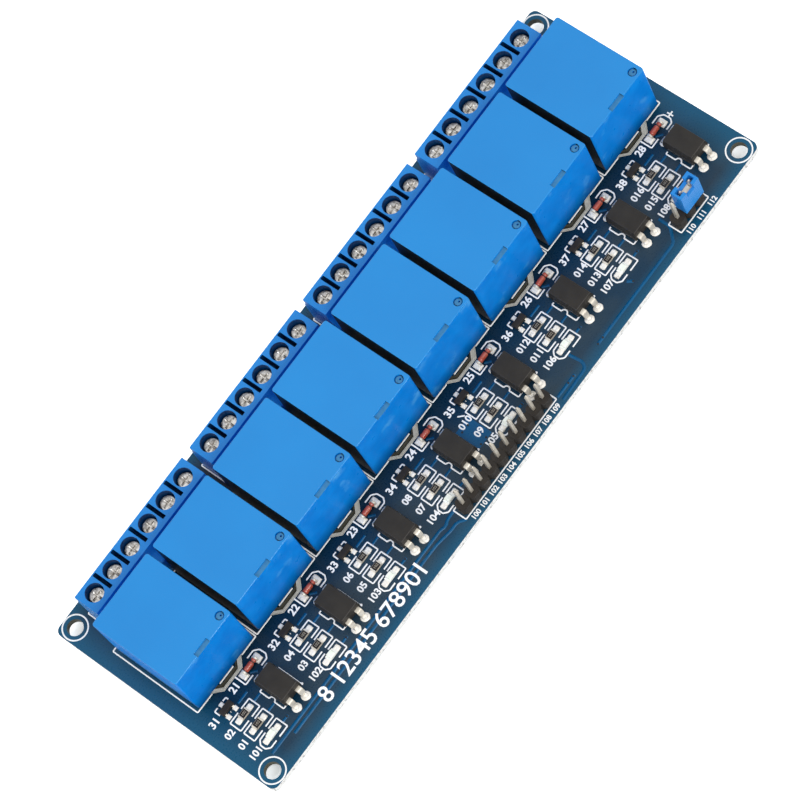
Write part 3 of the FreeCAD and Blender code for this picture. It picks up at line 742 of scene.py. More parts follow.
    @classmethod
    def roughen(cls, piece: bpy.types.Object, offset: float, seed: int) -> None:
        """Shift the points of a piece a little, as on set solder.

        Args:
            piece: the piece.
            offset: largest shift.
            seed: seed of the shifts.
        """
        cls.pick(piece, faces=lambda centre, normal: True)
        bpy.ops.mesh.select_all(action="SELECT")
        bpy.ops.transform.vertex_random(offset=offset, uniform=0.0, normal=0.0, seed=seed)
        bpy.ops.object.mode_set(mode="OBJECT")

    @classmethod
    def cut(cls, piece: bpy.types.Object, cutters: Iterable[bpy.types.Object]) -> None:
        """Cut shapes out of a piece and delete them.

        Args:
            piece: the piece.
            cutters: the shapes, which don't touch each other.
        """
        cutter = cls.join("cutter", cutters)
        cls.apply(piece, "BOOLEAN", operation="DIFFERENCE", object=cutter, solver="EXACT")
        bpy.data.objects.remove(cutter)

    @classmethod
    def join(cls, name: str, pieces: Iterable[bpy.types.Object]) -> bpy.types.Object:
        """Join pieces into one.

        Args:
            name: name of the result.
            pieces: the pieces.

        Returns:
            The joined piece.
        """
        pieces = list(pieces)
        cls.only(*pieces)
        if len(pieces) > 1:
            bpy.ops.object.join()
        pieces[0].name = name
        return pieces[0]

    @classmethod
    def copy(cls, piece: bpy.types.Object, name: str, x: float = 0.0, y: float = 0.0) -> bpy.types.Object:
        """Copy a piece, with its own mesh, to another place.

        Args:
            piece: the piece to copy.
            name: name of the copy.
            x: shift along X.
            y: shift along Y.

        Returns:
            The copy.
        """
        twin = piece.copy()
        twin.data = piece.data.copy()
        twin.name = name
        twin.data.transform(Matrix.Translation((x, y, 0.0)))
        bpy.context.scene.collection.objects.link(twin)
        return twin

    @classmethod
    def spread(cls, piece: bpy.types.Object, name: str, places: Iterable[Point]) -> bpy.types.Object:
        """Repeat a piece at several places and join the copies.

        Args:
            piece: the master, which is deleted.
            name: name of the result.
            places: X and Y shift of each copy.

        Returns:
            The joined piece.
        """
        copies = [cls.copy(piece, name, x, y) for x, y in places]
        bpy.data.objects.remove(piece)
        return cls.join(name, copies)

    @classmethod
    def ribbons(cls, name: str, strokes: Iterable[Sequence[Point]], width: float, thick: float,
                z: float) -> bpy.types.Object:
        """Sweep a flat profile along strokes; a stroke that ends where it starts is closed.

        Args:
            name: name of the piece.
            strokes: X and Y of the points of each stroke.
            width: width of the line.
            thick: thickness of the ink or copper.
            z: height of its underside.

        Returns:
            The mesh of all the strokes.
        """
        outline = bpy.data.curves.new("profile", "CURVE")
        edge = outline.splines.new("POLY")
        edge.points.add(3)
        for point, (x, y) in zip(edge.points, ((-1, -1), (1, -1), (1, 1), (-1, 1))):
            point.co = (x * width / 2, y * thick / 2, 0, 1)
        edge.use_cyclic_u = True
        profile = bpy.data.objects.new("profile", outline)
        bpy.context.scene.collection.objects.link(profile)
        curve = bpy.data.curves.new(name, "CURVE")
        curve.dimensions = "3D"
        curve.twist_mode = "Z_UP"
        curve.bevel_mode = "OBJECT"
        curve.bevel_object = profile
        curve.use_fill_caps = True
        for stroke in strokes:
            closed = stroke[0] == stroke[-1]
            points = list(stroke[:-1]) if closed else list(stroke)
            spline = curve.splines.new("POLY")
            spline.points.add(len(points) - 1)
            for point, (x, y) in zip(spline.points, points):
                point.co = (x, y, z + thick / 2, 1)
            spline.use_cyclic_u = closed
        piece = bpy.data.objects.new(name, curve)
        bpy.context.scene.collection.objects.link(piece)
        cls.only(piece)
        bpy.ops.object.convert(target="MESH")
        bpy.data.objects.remove(profile)
        return bpy.context.object

    @classmethod
    def figure(cls, text: str, centre: Point, height: float, z: float, thick: float,
               weight: float = 0.042) -> bpy.types.Object:
        """Set plain figures on the board.

        Args:
            text: the figures.
            centre: X and Y of their middle.
            height: height of a figure.
            z: height of the ink's underside.
            thick: thickness of the ink.
            weight: how much the strokes are fattened, for a figure 1 mm high.

        Returns:
            The mesh of the figures.
        """
        cls.only()
        bpy.ops.object.text_add()
        label = bpy.context.object
        label.data.body = text
        label.data.size = height / 0.7
        label.data.offset = weight * height
        label.data.extrude = thick / 2
        label.data.resolution_u = 3
        label.data.align_x = "CENTER"
        label.data.align_y = "CENTER"
        bpy.ops.object.convert(target="MESH")
        label = bpy.context.object
        label.location = (*centre, z + thick / 2)
        return cls.settle(label)


def ring(x: float, y: float, radius: float, count: int = 48) -> list[Point]:
    """Return a closed circle of points.

    Args:
        x: X of its centre.
        y: Y of its centre.
        radius: its radius.
        count: number of points round it.

    Returns:
        The points, the first repeated at the end.
    """
    turns = [2 * math.pi * i / count for i in range(count)]
    points = [(x + radius * math.cos(turn), y + radius * math.sin(turn)) for turn in turns]
    return points + points[:1]


def eased(points: Sequence[Point], radius: float = 0.12) -> list[Point]:
    """Round the corners of a line.

    Args:
        points: the line's points; closed if the first is repeated at the end.
        radius: how far from each corner the rounding starts.

    Returns:
        The line with two points for each corner.
    """
    closed = points[0] == points[-1]
    corners = list(points[:-1]) if closed else list(points)
    result = []
    for i, corner in enumerate(corners):
        if not closed and i in (0, len(corners) - 1):
            result.append(corner)
            continue
        here = Vector(corner)
        for other in (corners[i - 1], corners[(i + 1) % len(corners)]):
            away = Vector(other) - here
            result.append(tuple(here + away.normalized() * min(radius, away.length / 3)))
    return result + result[:1] if closed else result


# ---- sub-assemblies


@dataclass
class SubAssembly:
    """A group of pieces that is modelled and dressed together.

    Attributes:
        palette: the board's finishes.
    """

    palette: Palette

    def deliver(self, piece: bpy.types.Object, finish: str, slot: Slot, *nodes: str) -> bpy.types.Object:
        """Hand a finished piece over: metres, finish, body and the CAD nodes that it stands for.

        Args:
            piece: the piece, in millimetres.
            finish: name of its finish.
            slot: the record's slot; not used.
            nodes: CAD nodes that it replaces.

        Returns:
            The same piece.
        """
        piece.scale = (MM, MM, MM)
        Bench.settle(piece)
        piece.data.materials.clear()
        piece.data.materials.append(self.palette[finish])
        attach(piece, BODY)
        if nodes:
            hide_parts(*nodes)
        LOG.info("%s: %d faces", piece.name, len(piece.data.polygons))
        return piece

    def accent(self, piece: bpy.types.Object, finish: str, faces: Callable[[Vector, Vector], bool]) -> None:
        """Give some faces of a delivered piece a second finish.

        Args:
            piece: the piece.
            finish: name of the finish.
            faces: test on a face's centre, in metres, and normal.
        """
        piece.data.materials.append(self.palette[finish])
        number = len(piece.data.materials) - 1
        for face in piece.data.polygons:
            if faces(face.center, face.normal):
                face.material_index = number

    def dress(self, node: str, finish: str) -> None:
        """Give a CAD node a finish.

        Args:
            node: name of the node.
            finish: name of the finish.
        """
        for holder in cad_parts[node].material_slots:
            holder.link = "OBJECT"
            holder.material = self.palette[finish]
        LOG.info("%s: dressed in %s", node, finish)


@dataclass
class Relays(SubAssembly):
    """The eight relay cases, with their bases and pins."""

    shift: float = 0.15
    width: float = 15.4
    front: float = -5.65
    back: float = 13.55
    low: float = 2.6
    high: float = 16.8
    corner: float = 0.5
    edge: float = 0.2
    wall: float = 0.9
    recess_top: float = 3.7
    notch_width: float = 3.4
    notch_depth: float = 0.9
    notch_sink: float = 0.4
    vent: Place = (6.1, -4.3, 0.85)
    vent_sink: float = 0.22
    vent_groove: float = 0.2
    groove_sink: float = 0.6
    pinhole: Place = (6.27, -4.37, 0.2)

    def case(self) -> bpy.types.Object:
        """Model one case: rounded box, notch, vent with its pinhole and open underside.

        Returns:
            The case of a relay centred on X = 0.
        """
        half = self.width / 2
        case = Bench.block("case", (-half, self.front, self.low), (half, self.back, self.high))
        Bench.round_edges(case, lambda a, b: abs(a.z - b.z) > 1.0, self.corner, 4)
        Bench.round_edges(case, lambda a, b: min(a.z, b.z) > self.high - 0.01, self.edge, 3)
        x, y, radius = self.vent
        hole_x, hole_y, hole = self.pinhole
        cutters = [
            Bench.block("notch", (-self.notch_width / 2, self.front - 1, self.high - self.notch_sink),
                        (self.notch_width / 2, self.front + self.notch_depth, self.high + 1)),
            Bench.drum("vent", (x, y, self.high - self.vent_sink + 1), radius, 2),
            Bench.block("recess", (self.wall - half, self.front + self.wall, self.low - 1),
                        (half - self.wall, self.back - self.wall, self.recess_top)),
        ]
        Bench.cut(case, cutters)
        groove = Bench.drum("groove", (x, y, self.high - self.groove_sink + 1), radius, 2)
        Bench.cut(groove, [Bench.drum("island", (x, y, self.high), radius - self.vent_groove, 4)])
        Bench.cut(case, [groove])
        Bench.soften(case, 0.05)
        Bench.cut(case, [Bench.drum("pinhole", (hole_x, hole_y, self.high - 1), hole, 2, sides=20)])
        return case

    def is_sunk(self, centre: Vector, normal: Vector) -> bool:
        """Tell whether a face is a sunk floor in the top."""
        depth = self.high * MM - centre.z
        return normal.z > 0.9 and 0.15 * MM < depth < 2 * MM

    def is_side(self, centre: Vector, normal: Vector) -> bool:
        """Tell whether a face is one of the upright sides."""
        return abs(normal.z) < 0.3 and centre.z < (self.high - 1.5 * self.notch_sink) * MM

    def is_in_gap_shade(self, centre: Vector, normal: Vector) -> bool:
        """Tell whether a face looks into the gap between two relays, or inside the case, where painted
        shade goes.
        """
        first, last = LAYOUT.channel_centres()[0], LAYOUT.channel_centres()[-1]
        reach = self.width / 2 - 0.3
        inside = (first + self.shift - reach) * MM < centre.x < (last + self.shift + reach) * MM
        return abs(normal.x) > 0.9 and inside or normal.z < -0.9

    def build(self) -> None:
        """Model the cases and dress the bases and pins."""
        master = self.case()
        for number, x in enumerate(LAYOUT.channel_centres(), start=1):
            case = Bench.copy(master, f"relay_case_{number}", x + self.shift)
            self.deliver(case, "relay_plastic", Slot.RELAY, f"relay_cover_{number}")
            # The upright sides take a darker copy of the blue: painted shade.
            self.accent(case, "relay_side_painted_shade", self.is_side)
            # Faces in the gaps and inside the case take painted shade.
            self.accent(case, "relay_gap_painted_shade", self.is_in_gap_shade)
            # Sunk floors take a rough finish darkened as painted shade.
            self.accent(case, "relay_texture_and_shade", self.is_sunk)
            self.dress(f"relay_base_{number}", "relay_base_plastic")
        bpy.data.objects.remove(master)
        self.dress("relay_pins", "tinned_lead")


@dataclass
class Terminals(SubAssembly):
    """The four six-pole screw terminal blocks."""

    back: float = 14.5
    front: float = 22.2
    length: float = 30.4
    low: float = 1.6
    step: float = 7.1
    slope: tuple[float, float] = (16.0, 8.6)
    neck: tuple[float, float, float] = (16.4, 21.7, 9.6)
    high: float = 11.6
    well_y: float = 19.2
    well_radius: float = 1.75
    shelf: float = 8.2
    groove: tuple[float, float, float] = (0.75, 4.1, 3.0)
    groove_y: float = 19.4
    entry_width: float = 3.8
    entry_low: float = 3.0
    entry_back: float = 16.4
    screw_radius: float = 1.55
    screw_top: float = 9.9
    recess_long: float = 2.2
    recess_wide: float = 0.42
    recess_deep: float = 0.45
    middle: float = 0.0

    def housing(self) -> bpy.types.Object:
        """Model one housing: stepped body, wells, wire entries and grooves.

        Returns:
            The housing of a block centred on X = 0.
        """
        neck_back, neck_front, _ = self.neck
        slope_back, slope_top = self.slope
        steps = [(self.back, self.front, self.low), (self.back, self.front, self.step),
                 (slope_back, self.front, slope_top), self.neck, (neck_back, neck_front, self.high)]
        body = Bench.loft("housing", [(0, (a + b) / 2, self.length, b - a, z) for a, b, z in steps])
        cutters = []
        for x in LAYOUT.pole_offsets():
            cutters.append(Bench.drum("well", (x, self.well_y, self.high), self.well_radius,
                                      2 * (self.high - self.shelf) - 0.01, sides=48))
        Bench.cut(body, cutters)
        wide, deep, sink = self.groove
        cutters = []
        for x in LAYOUT.pole_offsets()[:-1]:
            x += LAYOUT.pole_pitch / 2
            cutters.append(Bench.block("groove", (x - wide / 2, self.groove_y - deep / 2, self.high - sink),
                                       (x + wide / 2, self.groove_y + deep / 2, self.high + 1)))
        for x in LAYOUT.pole_offsets():
            entry = Bench.block("entry", (x - self.entry_width / 2, self.entry_back, self.entry_low),
                                (x + self.entry_width / 2, self.front + 1, self.shelf))
            Bench.round_edges(entry, lambda a, b: abs(a.y - b.y) > 1.0, 0.35, 3)
            cutters.append(entry)
        Bench.cut(body, cutters)
        Bench.soften(body, 0.12)
        return body

    def is_hollow(self, centre: Vector, normal: Vector) -> bool:
        """Tell whether a face lies inside a well, a groove or a wire entry, where painted shade goes."""
        y, z = centre.y / MM, centre.z / MM
        if abs(abs(centre.x / MM - self.middle) - self.length / 2) < 0.2:
            return False
        if z < self.shelf + 0.1:
            return z > self.entry_low - 0.1 and self.entry_back - 0.1 < y < self.front - 0.2
        return z < self.high - 0.3 and self.neck[0] + 0.2 < y < self.neck[1] - 0.2

    def screw(self) -> bpy.types.Object:
        """Model one screw head with a cross recess.

        Returns:
            The head of a screw at X = 0.
        """
        tall = self.screw_top - self.shelf
        head = Bench.drum("screw", (0, self.well_y, self.shelf + tall / 2), self.screw_radius, tall)
        Bench.round_edges(head, lambda a, b: min(a.z, b.z) > self.screw_top - 0.01, 0.22, 3)
        long, wide = self.recess_long / 2, self.recess_wide / 2
        low, high = self.screw_top - self.recess_deep, self.screw_top + 1
        for reach_x, reach_y in ((long, wide), (wide, long)):
            arm = Bench.loft("arm", [(0, self.well_y, 1.2 * reach_x, 1.2 * reach_y, low),
                                     (0, self.well_y, 2 * reach_x, 2 * reach_y, self.screw_top - 0.15),
                                     (0, self.well_y, 2 * reach_x, 2 * reach_y, high)])
            Bench.cut(head, [arm])
        Bench.soften(head, 0.06)
        return head

    def build(self) -> None:
        """Model the housings and screws, and dress the cages and pins."""
        housing = self.housing()
        screws = Bench.spread(self.screw(), "screws", [(x, 0.0) for x in LAYOUT.pole_offsets()])
        for number, x in enumerate(LAYOUT.block_centres(), start=1):
            self.middle = x
            case = Bench.copy(housing, f"terminal_case_{number}", x)
            self.deliver(case, "terminal_plastic", Slot.TERMINAL, f"terminal_housing_{number}")
            # Faces inside the wells, grooves and entries take painted shade.
            self.accent(case, "terminal_hollow_painted_shade", self.is_hollow)
            self.deliver(Bench.copy(screws, f"clamp_screws_{number}", x), "screw_plating", Slot.SCREW,
                         f"terminal_screws_{number}")
            self.dress(f"terminal_clamps_{number}", "clamp_plating")
        bpy.data.objects.remove(housing)
        bpy.data.objects.remove(screws)
        self.dress("terminal_pins", "tinned_lead")


@dataclass
class Optocouplers(SubAssembly):
    """The eight optocouplers with their leads."""

    y: float = -14.95
    width: float = 4.6
    length: float = 6.5
    bottom: float = 2.4
    parting: float = 3.8
    band: float = 0.3
    top: float = 5.6
    inset: float = 0.3
    top_width: float = 3.9
    top_length: float = 6.35
    shoulder: float = 1.15
    lead_thick: float = 0.28
    tip: float = -1.4

    def package(self) -> bpy.types.Object:
        """Model one moulded package, drafted above and below its leads.

        Returns:
            The package at X = 0.
        """
        small = (self.width - self.inset, self.length - self.inset)
        package = Bench.loft("package", [
            (0, self.y, *small, self.bottom),
            (0, self.y, self.width, self.length, self.parting),
            (0, self.y, self.width, self.length, self.parting + self.band),
            (0, self.y, self.top_width, self.top_length, self.top),
        ])
        Bench.soften(package, 0.09, 2, 12)
        return package

    def lead(self) -> bpy.types.Object:
        """Model one lead of the near row: broad shoulder, then a narrow leg through the board.

        Returns:
            The lead at X = 0.
        """
        z = self.parting + self.band / 2
        start = self.y - self.length / 2
        wide = self.shoulder
        return Bench.strip("lead", 0.0, [
            (start + 0.1, z, wide), (start - 0.45, z, wide), (start - 0.62, z - 0.08, wide),
            (start - 0.72, z - 0.25, wide), (start - 0.95, z - 1.1, wide - 0.05),
            (start - 1.02, z - 1.35, 0.6), (start - 1.1, z - 2.4, 0.5),
            (start - 1.25, self.tip, 0.45)], self.lead_thick)

    def build(self) -> None:
        """Model the packages and leads."""
        master = self.package()
        for number, x in enumerate(LAYOUT.channel_centres(), start=1):
            package = Bench.copy(master, f"optocoupler_{number}", x + LAYOUT.coupler_side)
            self.deliver(package, "package_top", Slot.BLACK, f"optocoupler_body_{number}")
            # The sloped faces take a painted highlight.
            self.accent(package, "moulding_edge_highlight", lambda centre, normal: 0.35 < normal.z < 0.93)
        bpy.data.objects.remove(master)
        near = self.lead()
        far = Bench.copy(near, "far")
        far.data.transform(Matrix.Translation((0, 2 * self.y, 0)) @ Matrix.Scale(-1, 4, (0, 1, 0)))
        Bench.face_outwards(far)
        pair = Bench.join("leads", [near, far])
        half = LAYOUT.pin_pitch / 2
        places = [(x + LAYOUT.coupler_side + sign * half, 0.0)
                  for x in LAYOUT.channel_centres() for sign in (-1, 1)]
        self.deliver(Bench.spread(pair, "coupler_leads", places), "tinned_lead", Slot.TIN,
                     "optocoupler_leads")


@dataclass
class Diodes(SubAssembly):
    """The eight glass flyback diodes, each lying between two end caps."""

    side: float = 3.5
    y: float = -8.05
    radius: float = 0.66
    glass_radius: float = 0.54
    length: float = 3.5
    cap: float = 0.42
    body: tuple[float, float, float] = (-0.3, 1.0, 1.95)
    bulb: tuple[float, float, float] = (1.12, 0.92, 0.7)

    def build(self) -> None:
        """Model the glass bodies and the caps."""
        z = LAYOUT.top + self.radius
        places = [(x + self.side, 0.0) for x in LAYOUT.channel_centres()]
        glass = []
        for x, share, long in (self.body, self.bulb):
            lens = Bench.drum("lens", (x, self.y, z), self.glass_radius * share, long, Axis.X, 32)
            Bench.round_edges(lens, lambda a, b: abs(a.x - b.x) < 1e-4, 0.3, 5)
            Bench.smooth(lens)
            glass.append(lens)
        glass = Bench.join("glass", glass)
        self.deliver(Bench.spread(glass, "diode_bodies", places), "diode_glass", Slot.GLASS,
                     "flyback_diodes")
        plug = Bench.drum("plug", (0.45, self.y, z), self.glass_radius * 0.72, 1.5, Axis.X, 24)
        self.deliver(Bench.spread(plug, "diode_plugs", places), "diode_plug", Slot.GLASS)
        caps = []
        for sign in (-1, 1):
            x = sign * (self.length - self.cap) / 2
            cap = Bench.drum("cap", (x, self.y, z), self.radius, self.cap, Axis.X, 32)
            Bench.round_edges(cap, lambda a, b: abs(a.x - b.x) < 1e-4, 0.14, 3)
            Bench.smooth(cap)
            caps.append(cap)
        self.deliver(Bench.spread(Bench.join("caps", caps), "diode_caps", places), "tinned_lead", Slot.TIN)


@dataclass
class Transistors(SubAssembly):
    """The eight three-lead driver transistors."""

    y: float = -9.3
    width: float = 2.9
    length: float = 1.3
    lead_side: float = 0.95
    lead_thick: float = 0.14
    lead_width: float = 0.42

    def build(self) -> None:
        """Model the packages and the gull-wing leads."""
        low = LAYOUT.top + 0.1
        package = Bench.loft("package", [
            (0, self.y, self.width - 0.12, self.length - 0.12, low),
            (0, self.y, self.width, self.length, low + 0.4),
            (0, self.y, self.width - 0.16, self.length - 0.2, low + 0.85),
        ])
        Bench.soften(package, 0.06)
        places = [(x + LAYOUT.driver_side, 0.0) for x in LAYOUT.channel_centres()]
        self.deliver(Bench.spread(package, "driver_packages", places), "black_moulding", Slot.BLACK,
                     "transistor_bodies")
        floor = LAYOUT.top + self.lead_thick / 2
        wide = self.lead_width
        leads = []
        for sign, sides in ((-1, (-self.lead_side, self.lead_side)), (1, (0.0,))):
            root = self.y + sign * self.length / 2
            for x in sides:
                leads.append(Bench.strip("lead", x, [
                    (root - sign * 0.1, floor + 0.36, wide), (root + sign * 0.08, floor + 0.36, wide),
                    (root + sign * 0.16, floor + 0.26, wide), (root + sign * 0.2, floor + 0.06, wide),
                    (root + sign * 0.3, floor, wide), (root + sign * 0.6, floor, wide)], self.lead_thick))
        leads = Bench.spread(Bench.join("leads", leads), "driver_leads", places)
        self.deliver(leads, "tinned_lead", Slot.TIN, "transistor_leads")


@dataclass
class Chips(SubAssembly):
    """Two chip resistors and one indicator lamp in each channel."""

    length: float = 2.0
    width: float = 1.25
    tall: float = 0.5
    cap_seen: float = 0.28
    lens_length: float = 1.3
    code: str = "102"

    def build(self) -> None:
        """Model the resistors, their end caps and value figures, and the lamps."""
        *rows, lamp_row = LAYOUT.chip_rows
        places = [(x + LAYOUT.chip_side, y) for x in LAYOUT.channel_centres() for y in rows]
        low = LAYOUT.top
        inner = self.length - 2 * self.cap_seen
        ceramic = Bench.loft("ceramic", [(0, 0, inner, self.width, low + 0.02),
                                         (0, 0, inner, self.width, low + self.tall - 0.06)])
        Bench.soften(ceramic, 0.04, 1)
        self.deliver(Bench.spread(ceramic, "resistor_blocks", places), "ceramic", Slot.BLACK,
                     "resistor_bodies")
        glaze = Bench.loft("glaze", [(0, 0, inner, self.width - 0.12, low + self.tall - 0.07),
                                     (0, 0, inner - 0.06, self.width - 0.2, low + self.tall)])
        Bench.soften(glaze, 0.03, 1)
        self.deliver(Bench.spread(glaze, "resistor_glazes", places), "resistor_glaze", Slot.BLACK)
        figures = Bench.figure(self.code, (0, 0), 0.5, low + self.tall, 0.008, 0.0)
        self.deliver(Bench.spread(figures, "resistor_figures", places), "figure_ink", Slot.WHITE)
        caps = []
        for sign in (-1, 1):
            x = sign * (self.length - self.cap_seen) / 2
            cap = Bench.block("cap", (x - self.cap_seen / 2, -self.width / 2, low),
                              (x + self.cap_seen / 2, self.width / 2, low + self.tall + 0.02))
            Bench.soften(cap, 0.08)
            caps.append(cap)
        caps = Bench.spread(Bench.join("caps", caps), "resistor_ends", places)
        self.deliver(caps, "tinned_lead", Slot.TIN, "resistor_caps")
        self.lamps([(x + LAYOUT.chip_side, lamp_row) for x in LAYOUT.channel_centres()])

    def lamps(self, places: Sequence[Point]) -> None:
        """Model the indicator lamps.

        Args:
            places: centre of each lamp.
        """
        low = LAYOUT.top
        base = Bench.loft("base", [(0, 0, self.length, self.width, low),
                                   (0, 0, self.length, self.width, low + 0.35)])
        Bench.soften(base, 0.05)
        self.deliver(Bench.spread(base, "lamp_bodies", places), "lamp_body", Slot.WHITE, "lamp_bases")
        long = self.lens_length
        lens = Bench.loft("lens", [(0, 0, long, self.width, low + 0.34),
                                   (0, 0, long, self.width, low + 0.6),
                                   (0, 0, long - 0.2, self.width - 0.2, low + 0.85)])
        Bench.soften(lens, 0.09, 3)
        self.deliver(Bench.spread(lens, "lamp_windows", places), "lamp_lens", Slot.WHITE, "lamp_lenses")


@dataclass
class Headers(SubAssembly):
    """The ten-pin input header, the three-pin power header and its jumper."""

    width: float = 2.5
    tall: float = 2.54
    chamfer: float = 0.6
    pin: float = 0.64
    pin_tip: float = 0.45
    low_taper: float = 0.5
    high_taper: float = 0.6
    pin_low: float = -1.5
    pin_high: float = 10.2
    cap_end: float = 1.23
    cap_width: float = 2.46
    cap_tall: float = 6.1
    valley: float = 1.9
    valley_deep: float = 1.6
    slot_width: float = 1.1
    slot_margin: float = 0.45

    def build(self) -> None:
        """Model both headers and the jumper."""
        low, half = LAYOUT.top, LAYOUT.pin_pitch / 2
        for name, places in (("input", LAYOUT.input_centres()), ("power", LAYOUT.power_centres())):
            shell = Bench.block("shell", (-half, -self.width / 2, low),
                                (half, self.width / 2, low + self.tall))
            Bench.round_edges(shell, lambda a, b: abs(a.z - b.z) > 1.0, self.chamfer, 1)
            Bench.soften(shell, 0.07)
            self.deliver(Bench.spread(shell, f"{name}_shell", places), "black_moulding", Slot.BLACK,
                         f"{name}_header_base")
            size, tip = self.pin, self.pin * self.pin_tip
            pin = Bench.loft("pin", [
                (0, 0, tip, tip, self.pin_low), (0, 0, size, size, self.pin_low + self.low_taper),
                (0, 0, size, size, self.pin_high - self.high_taper), (0, 0, tip, tip, self.pin_high)])
            Bench.soften(pin, 0.05, 1, 20)
            self.deliver(Bench.spread(pin, f"{name}_pins", places), "pin_plating", Slot.PIN,
                         f"{name}_header_pins")
        self.jumper()

    def jumper(self) -> None:
        """Model the jumper cap, with its valley and slot, and dress the clip inside it."""
        x = LAYOUT.power_x + 1.5 * LAYOUT.pin_pitch
        y = LAYOUT.header_y
        low = LAYOUT.top + self.tall + 0.1
        high = low + self.cap_tall
        half = LAYOUT.pin_pitch / 2 + self.cap_end
        cap = Bench.block("jumper", (x - half, y - self.cap_width / 2, low),
                          (x + half, y + self.cap_width / 2, high))
        Bench.cut(cap, [Bench.block("valley", (x - self.valley / 2, y - 2, high - self.valley_deep),
                                    (x + self.valley / 2, y + 2, high + 1))])
        reach = (LAYOUT.pin_pitch + self.pin) / 2 + self.slot_margin
        Bench.cut(cap, [Bench.block("slot", (x - reach, y - self.slot_width / 2, low - 1),
                                    (x + reach, y + self.slot_width / 2, high + 1))])
        Bench.soften(cap, 0.12)
        self.deliver(cap, "terminal_plastic", Slot.TERMINAL, "jumper_cap")
        self.dress("jumper_clip", "tinned_lead")


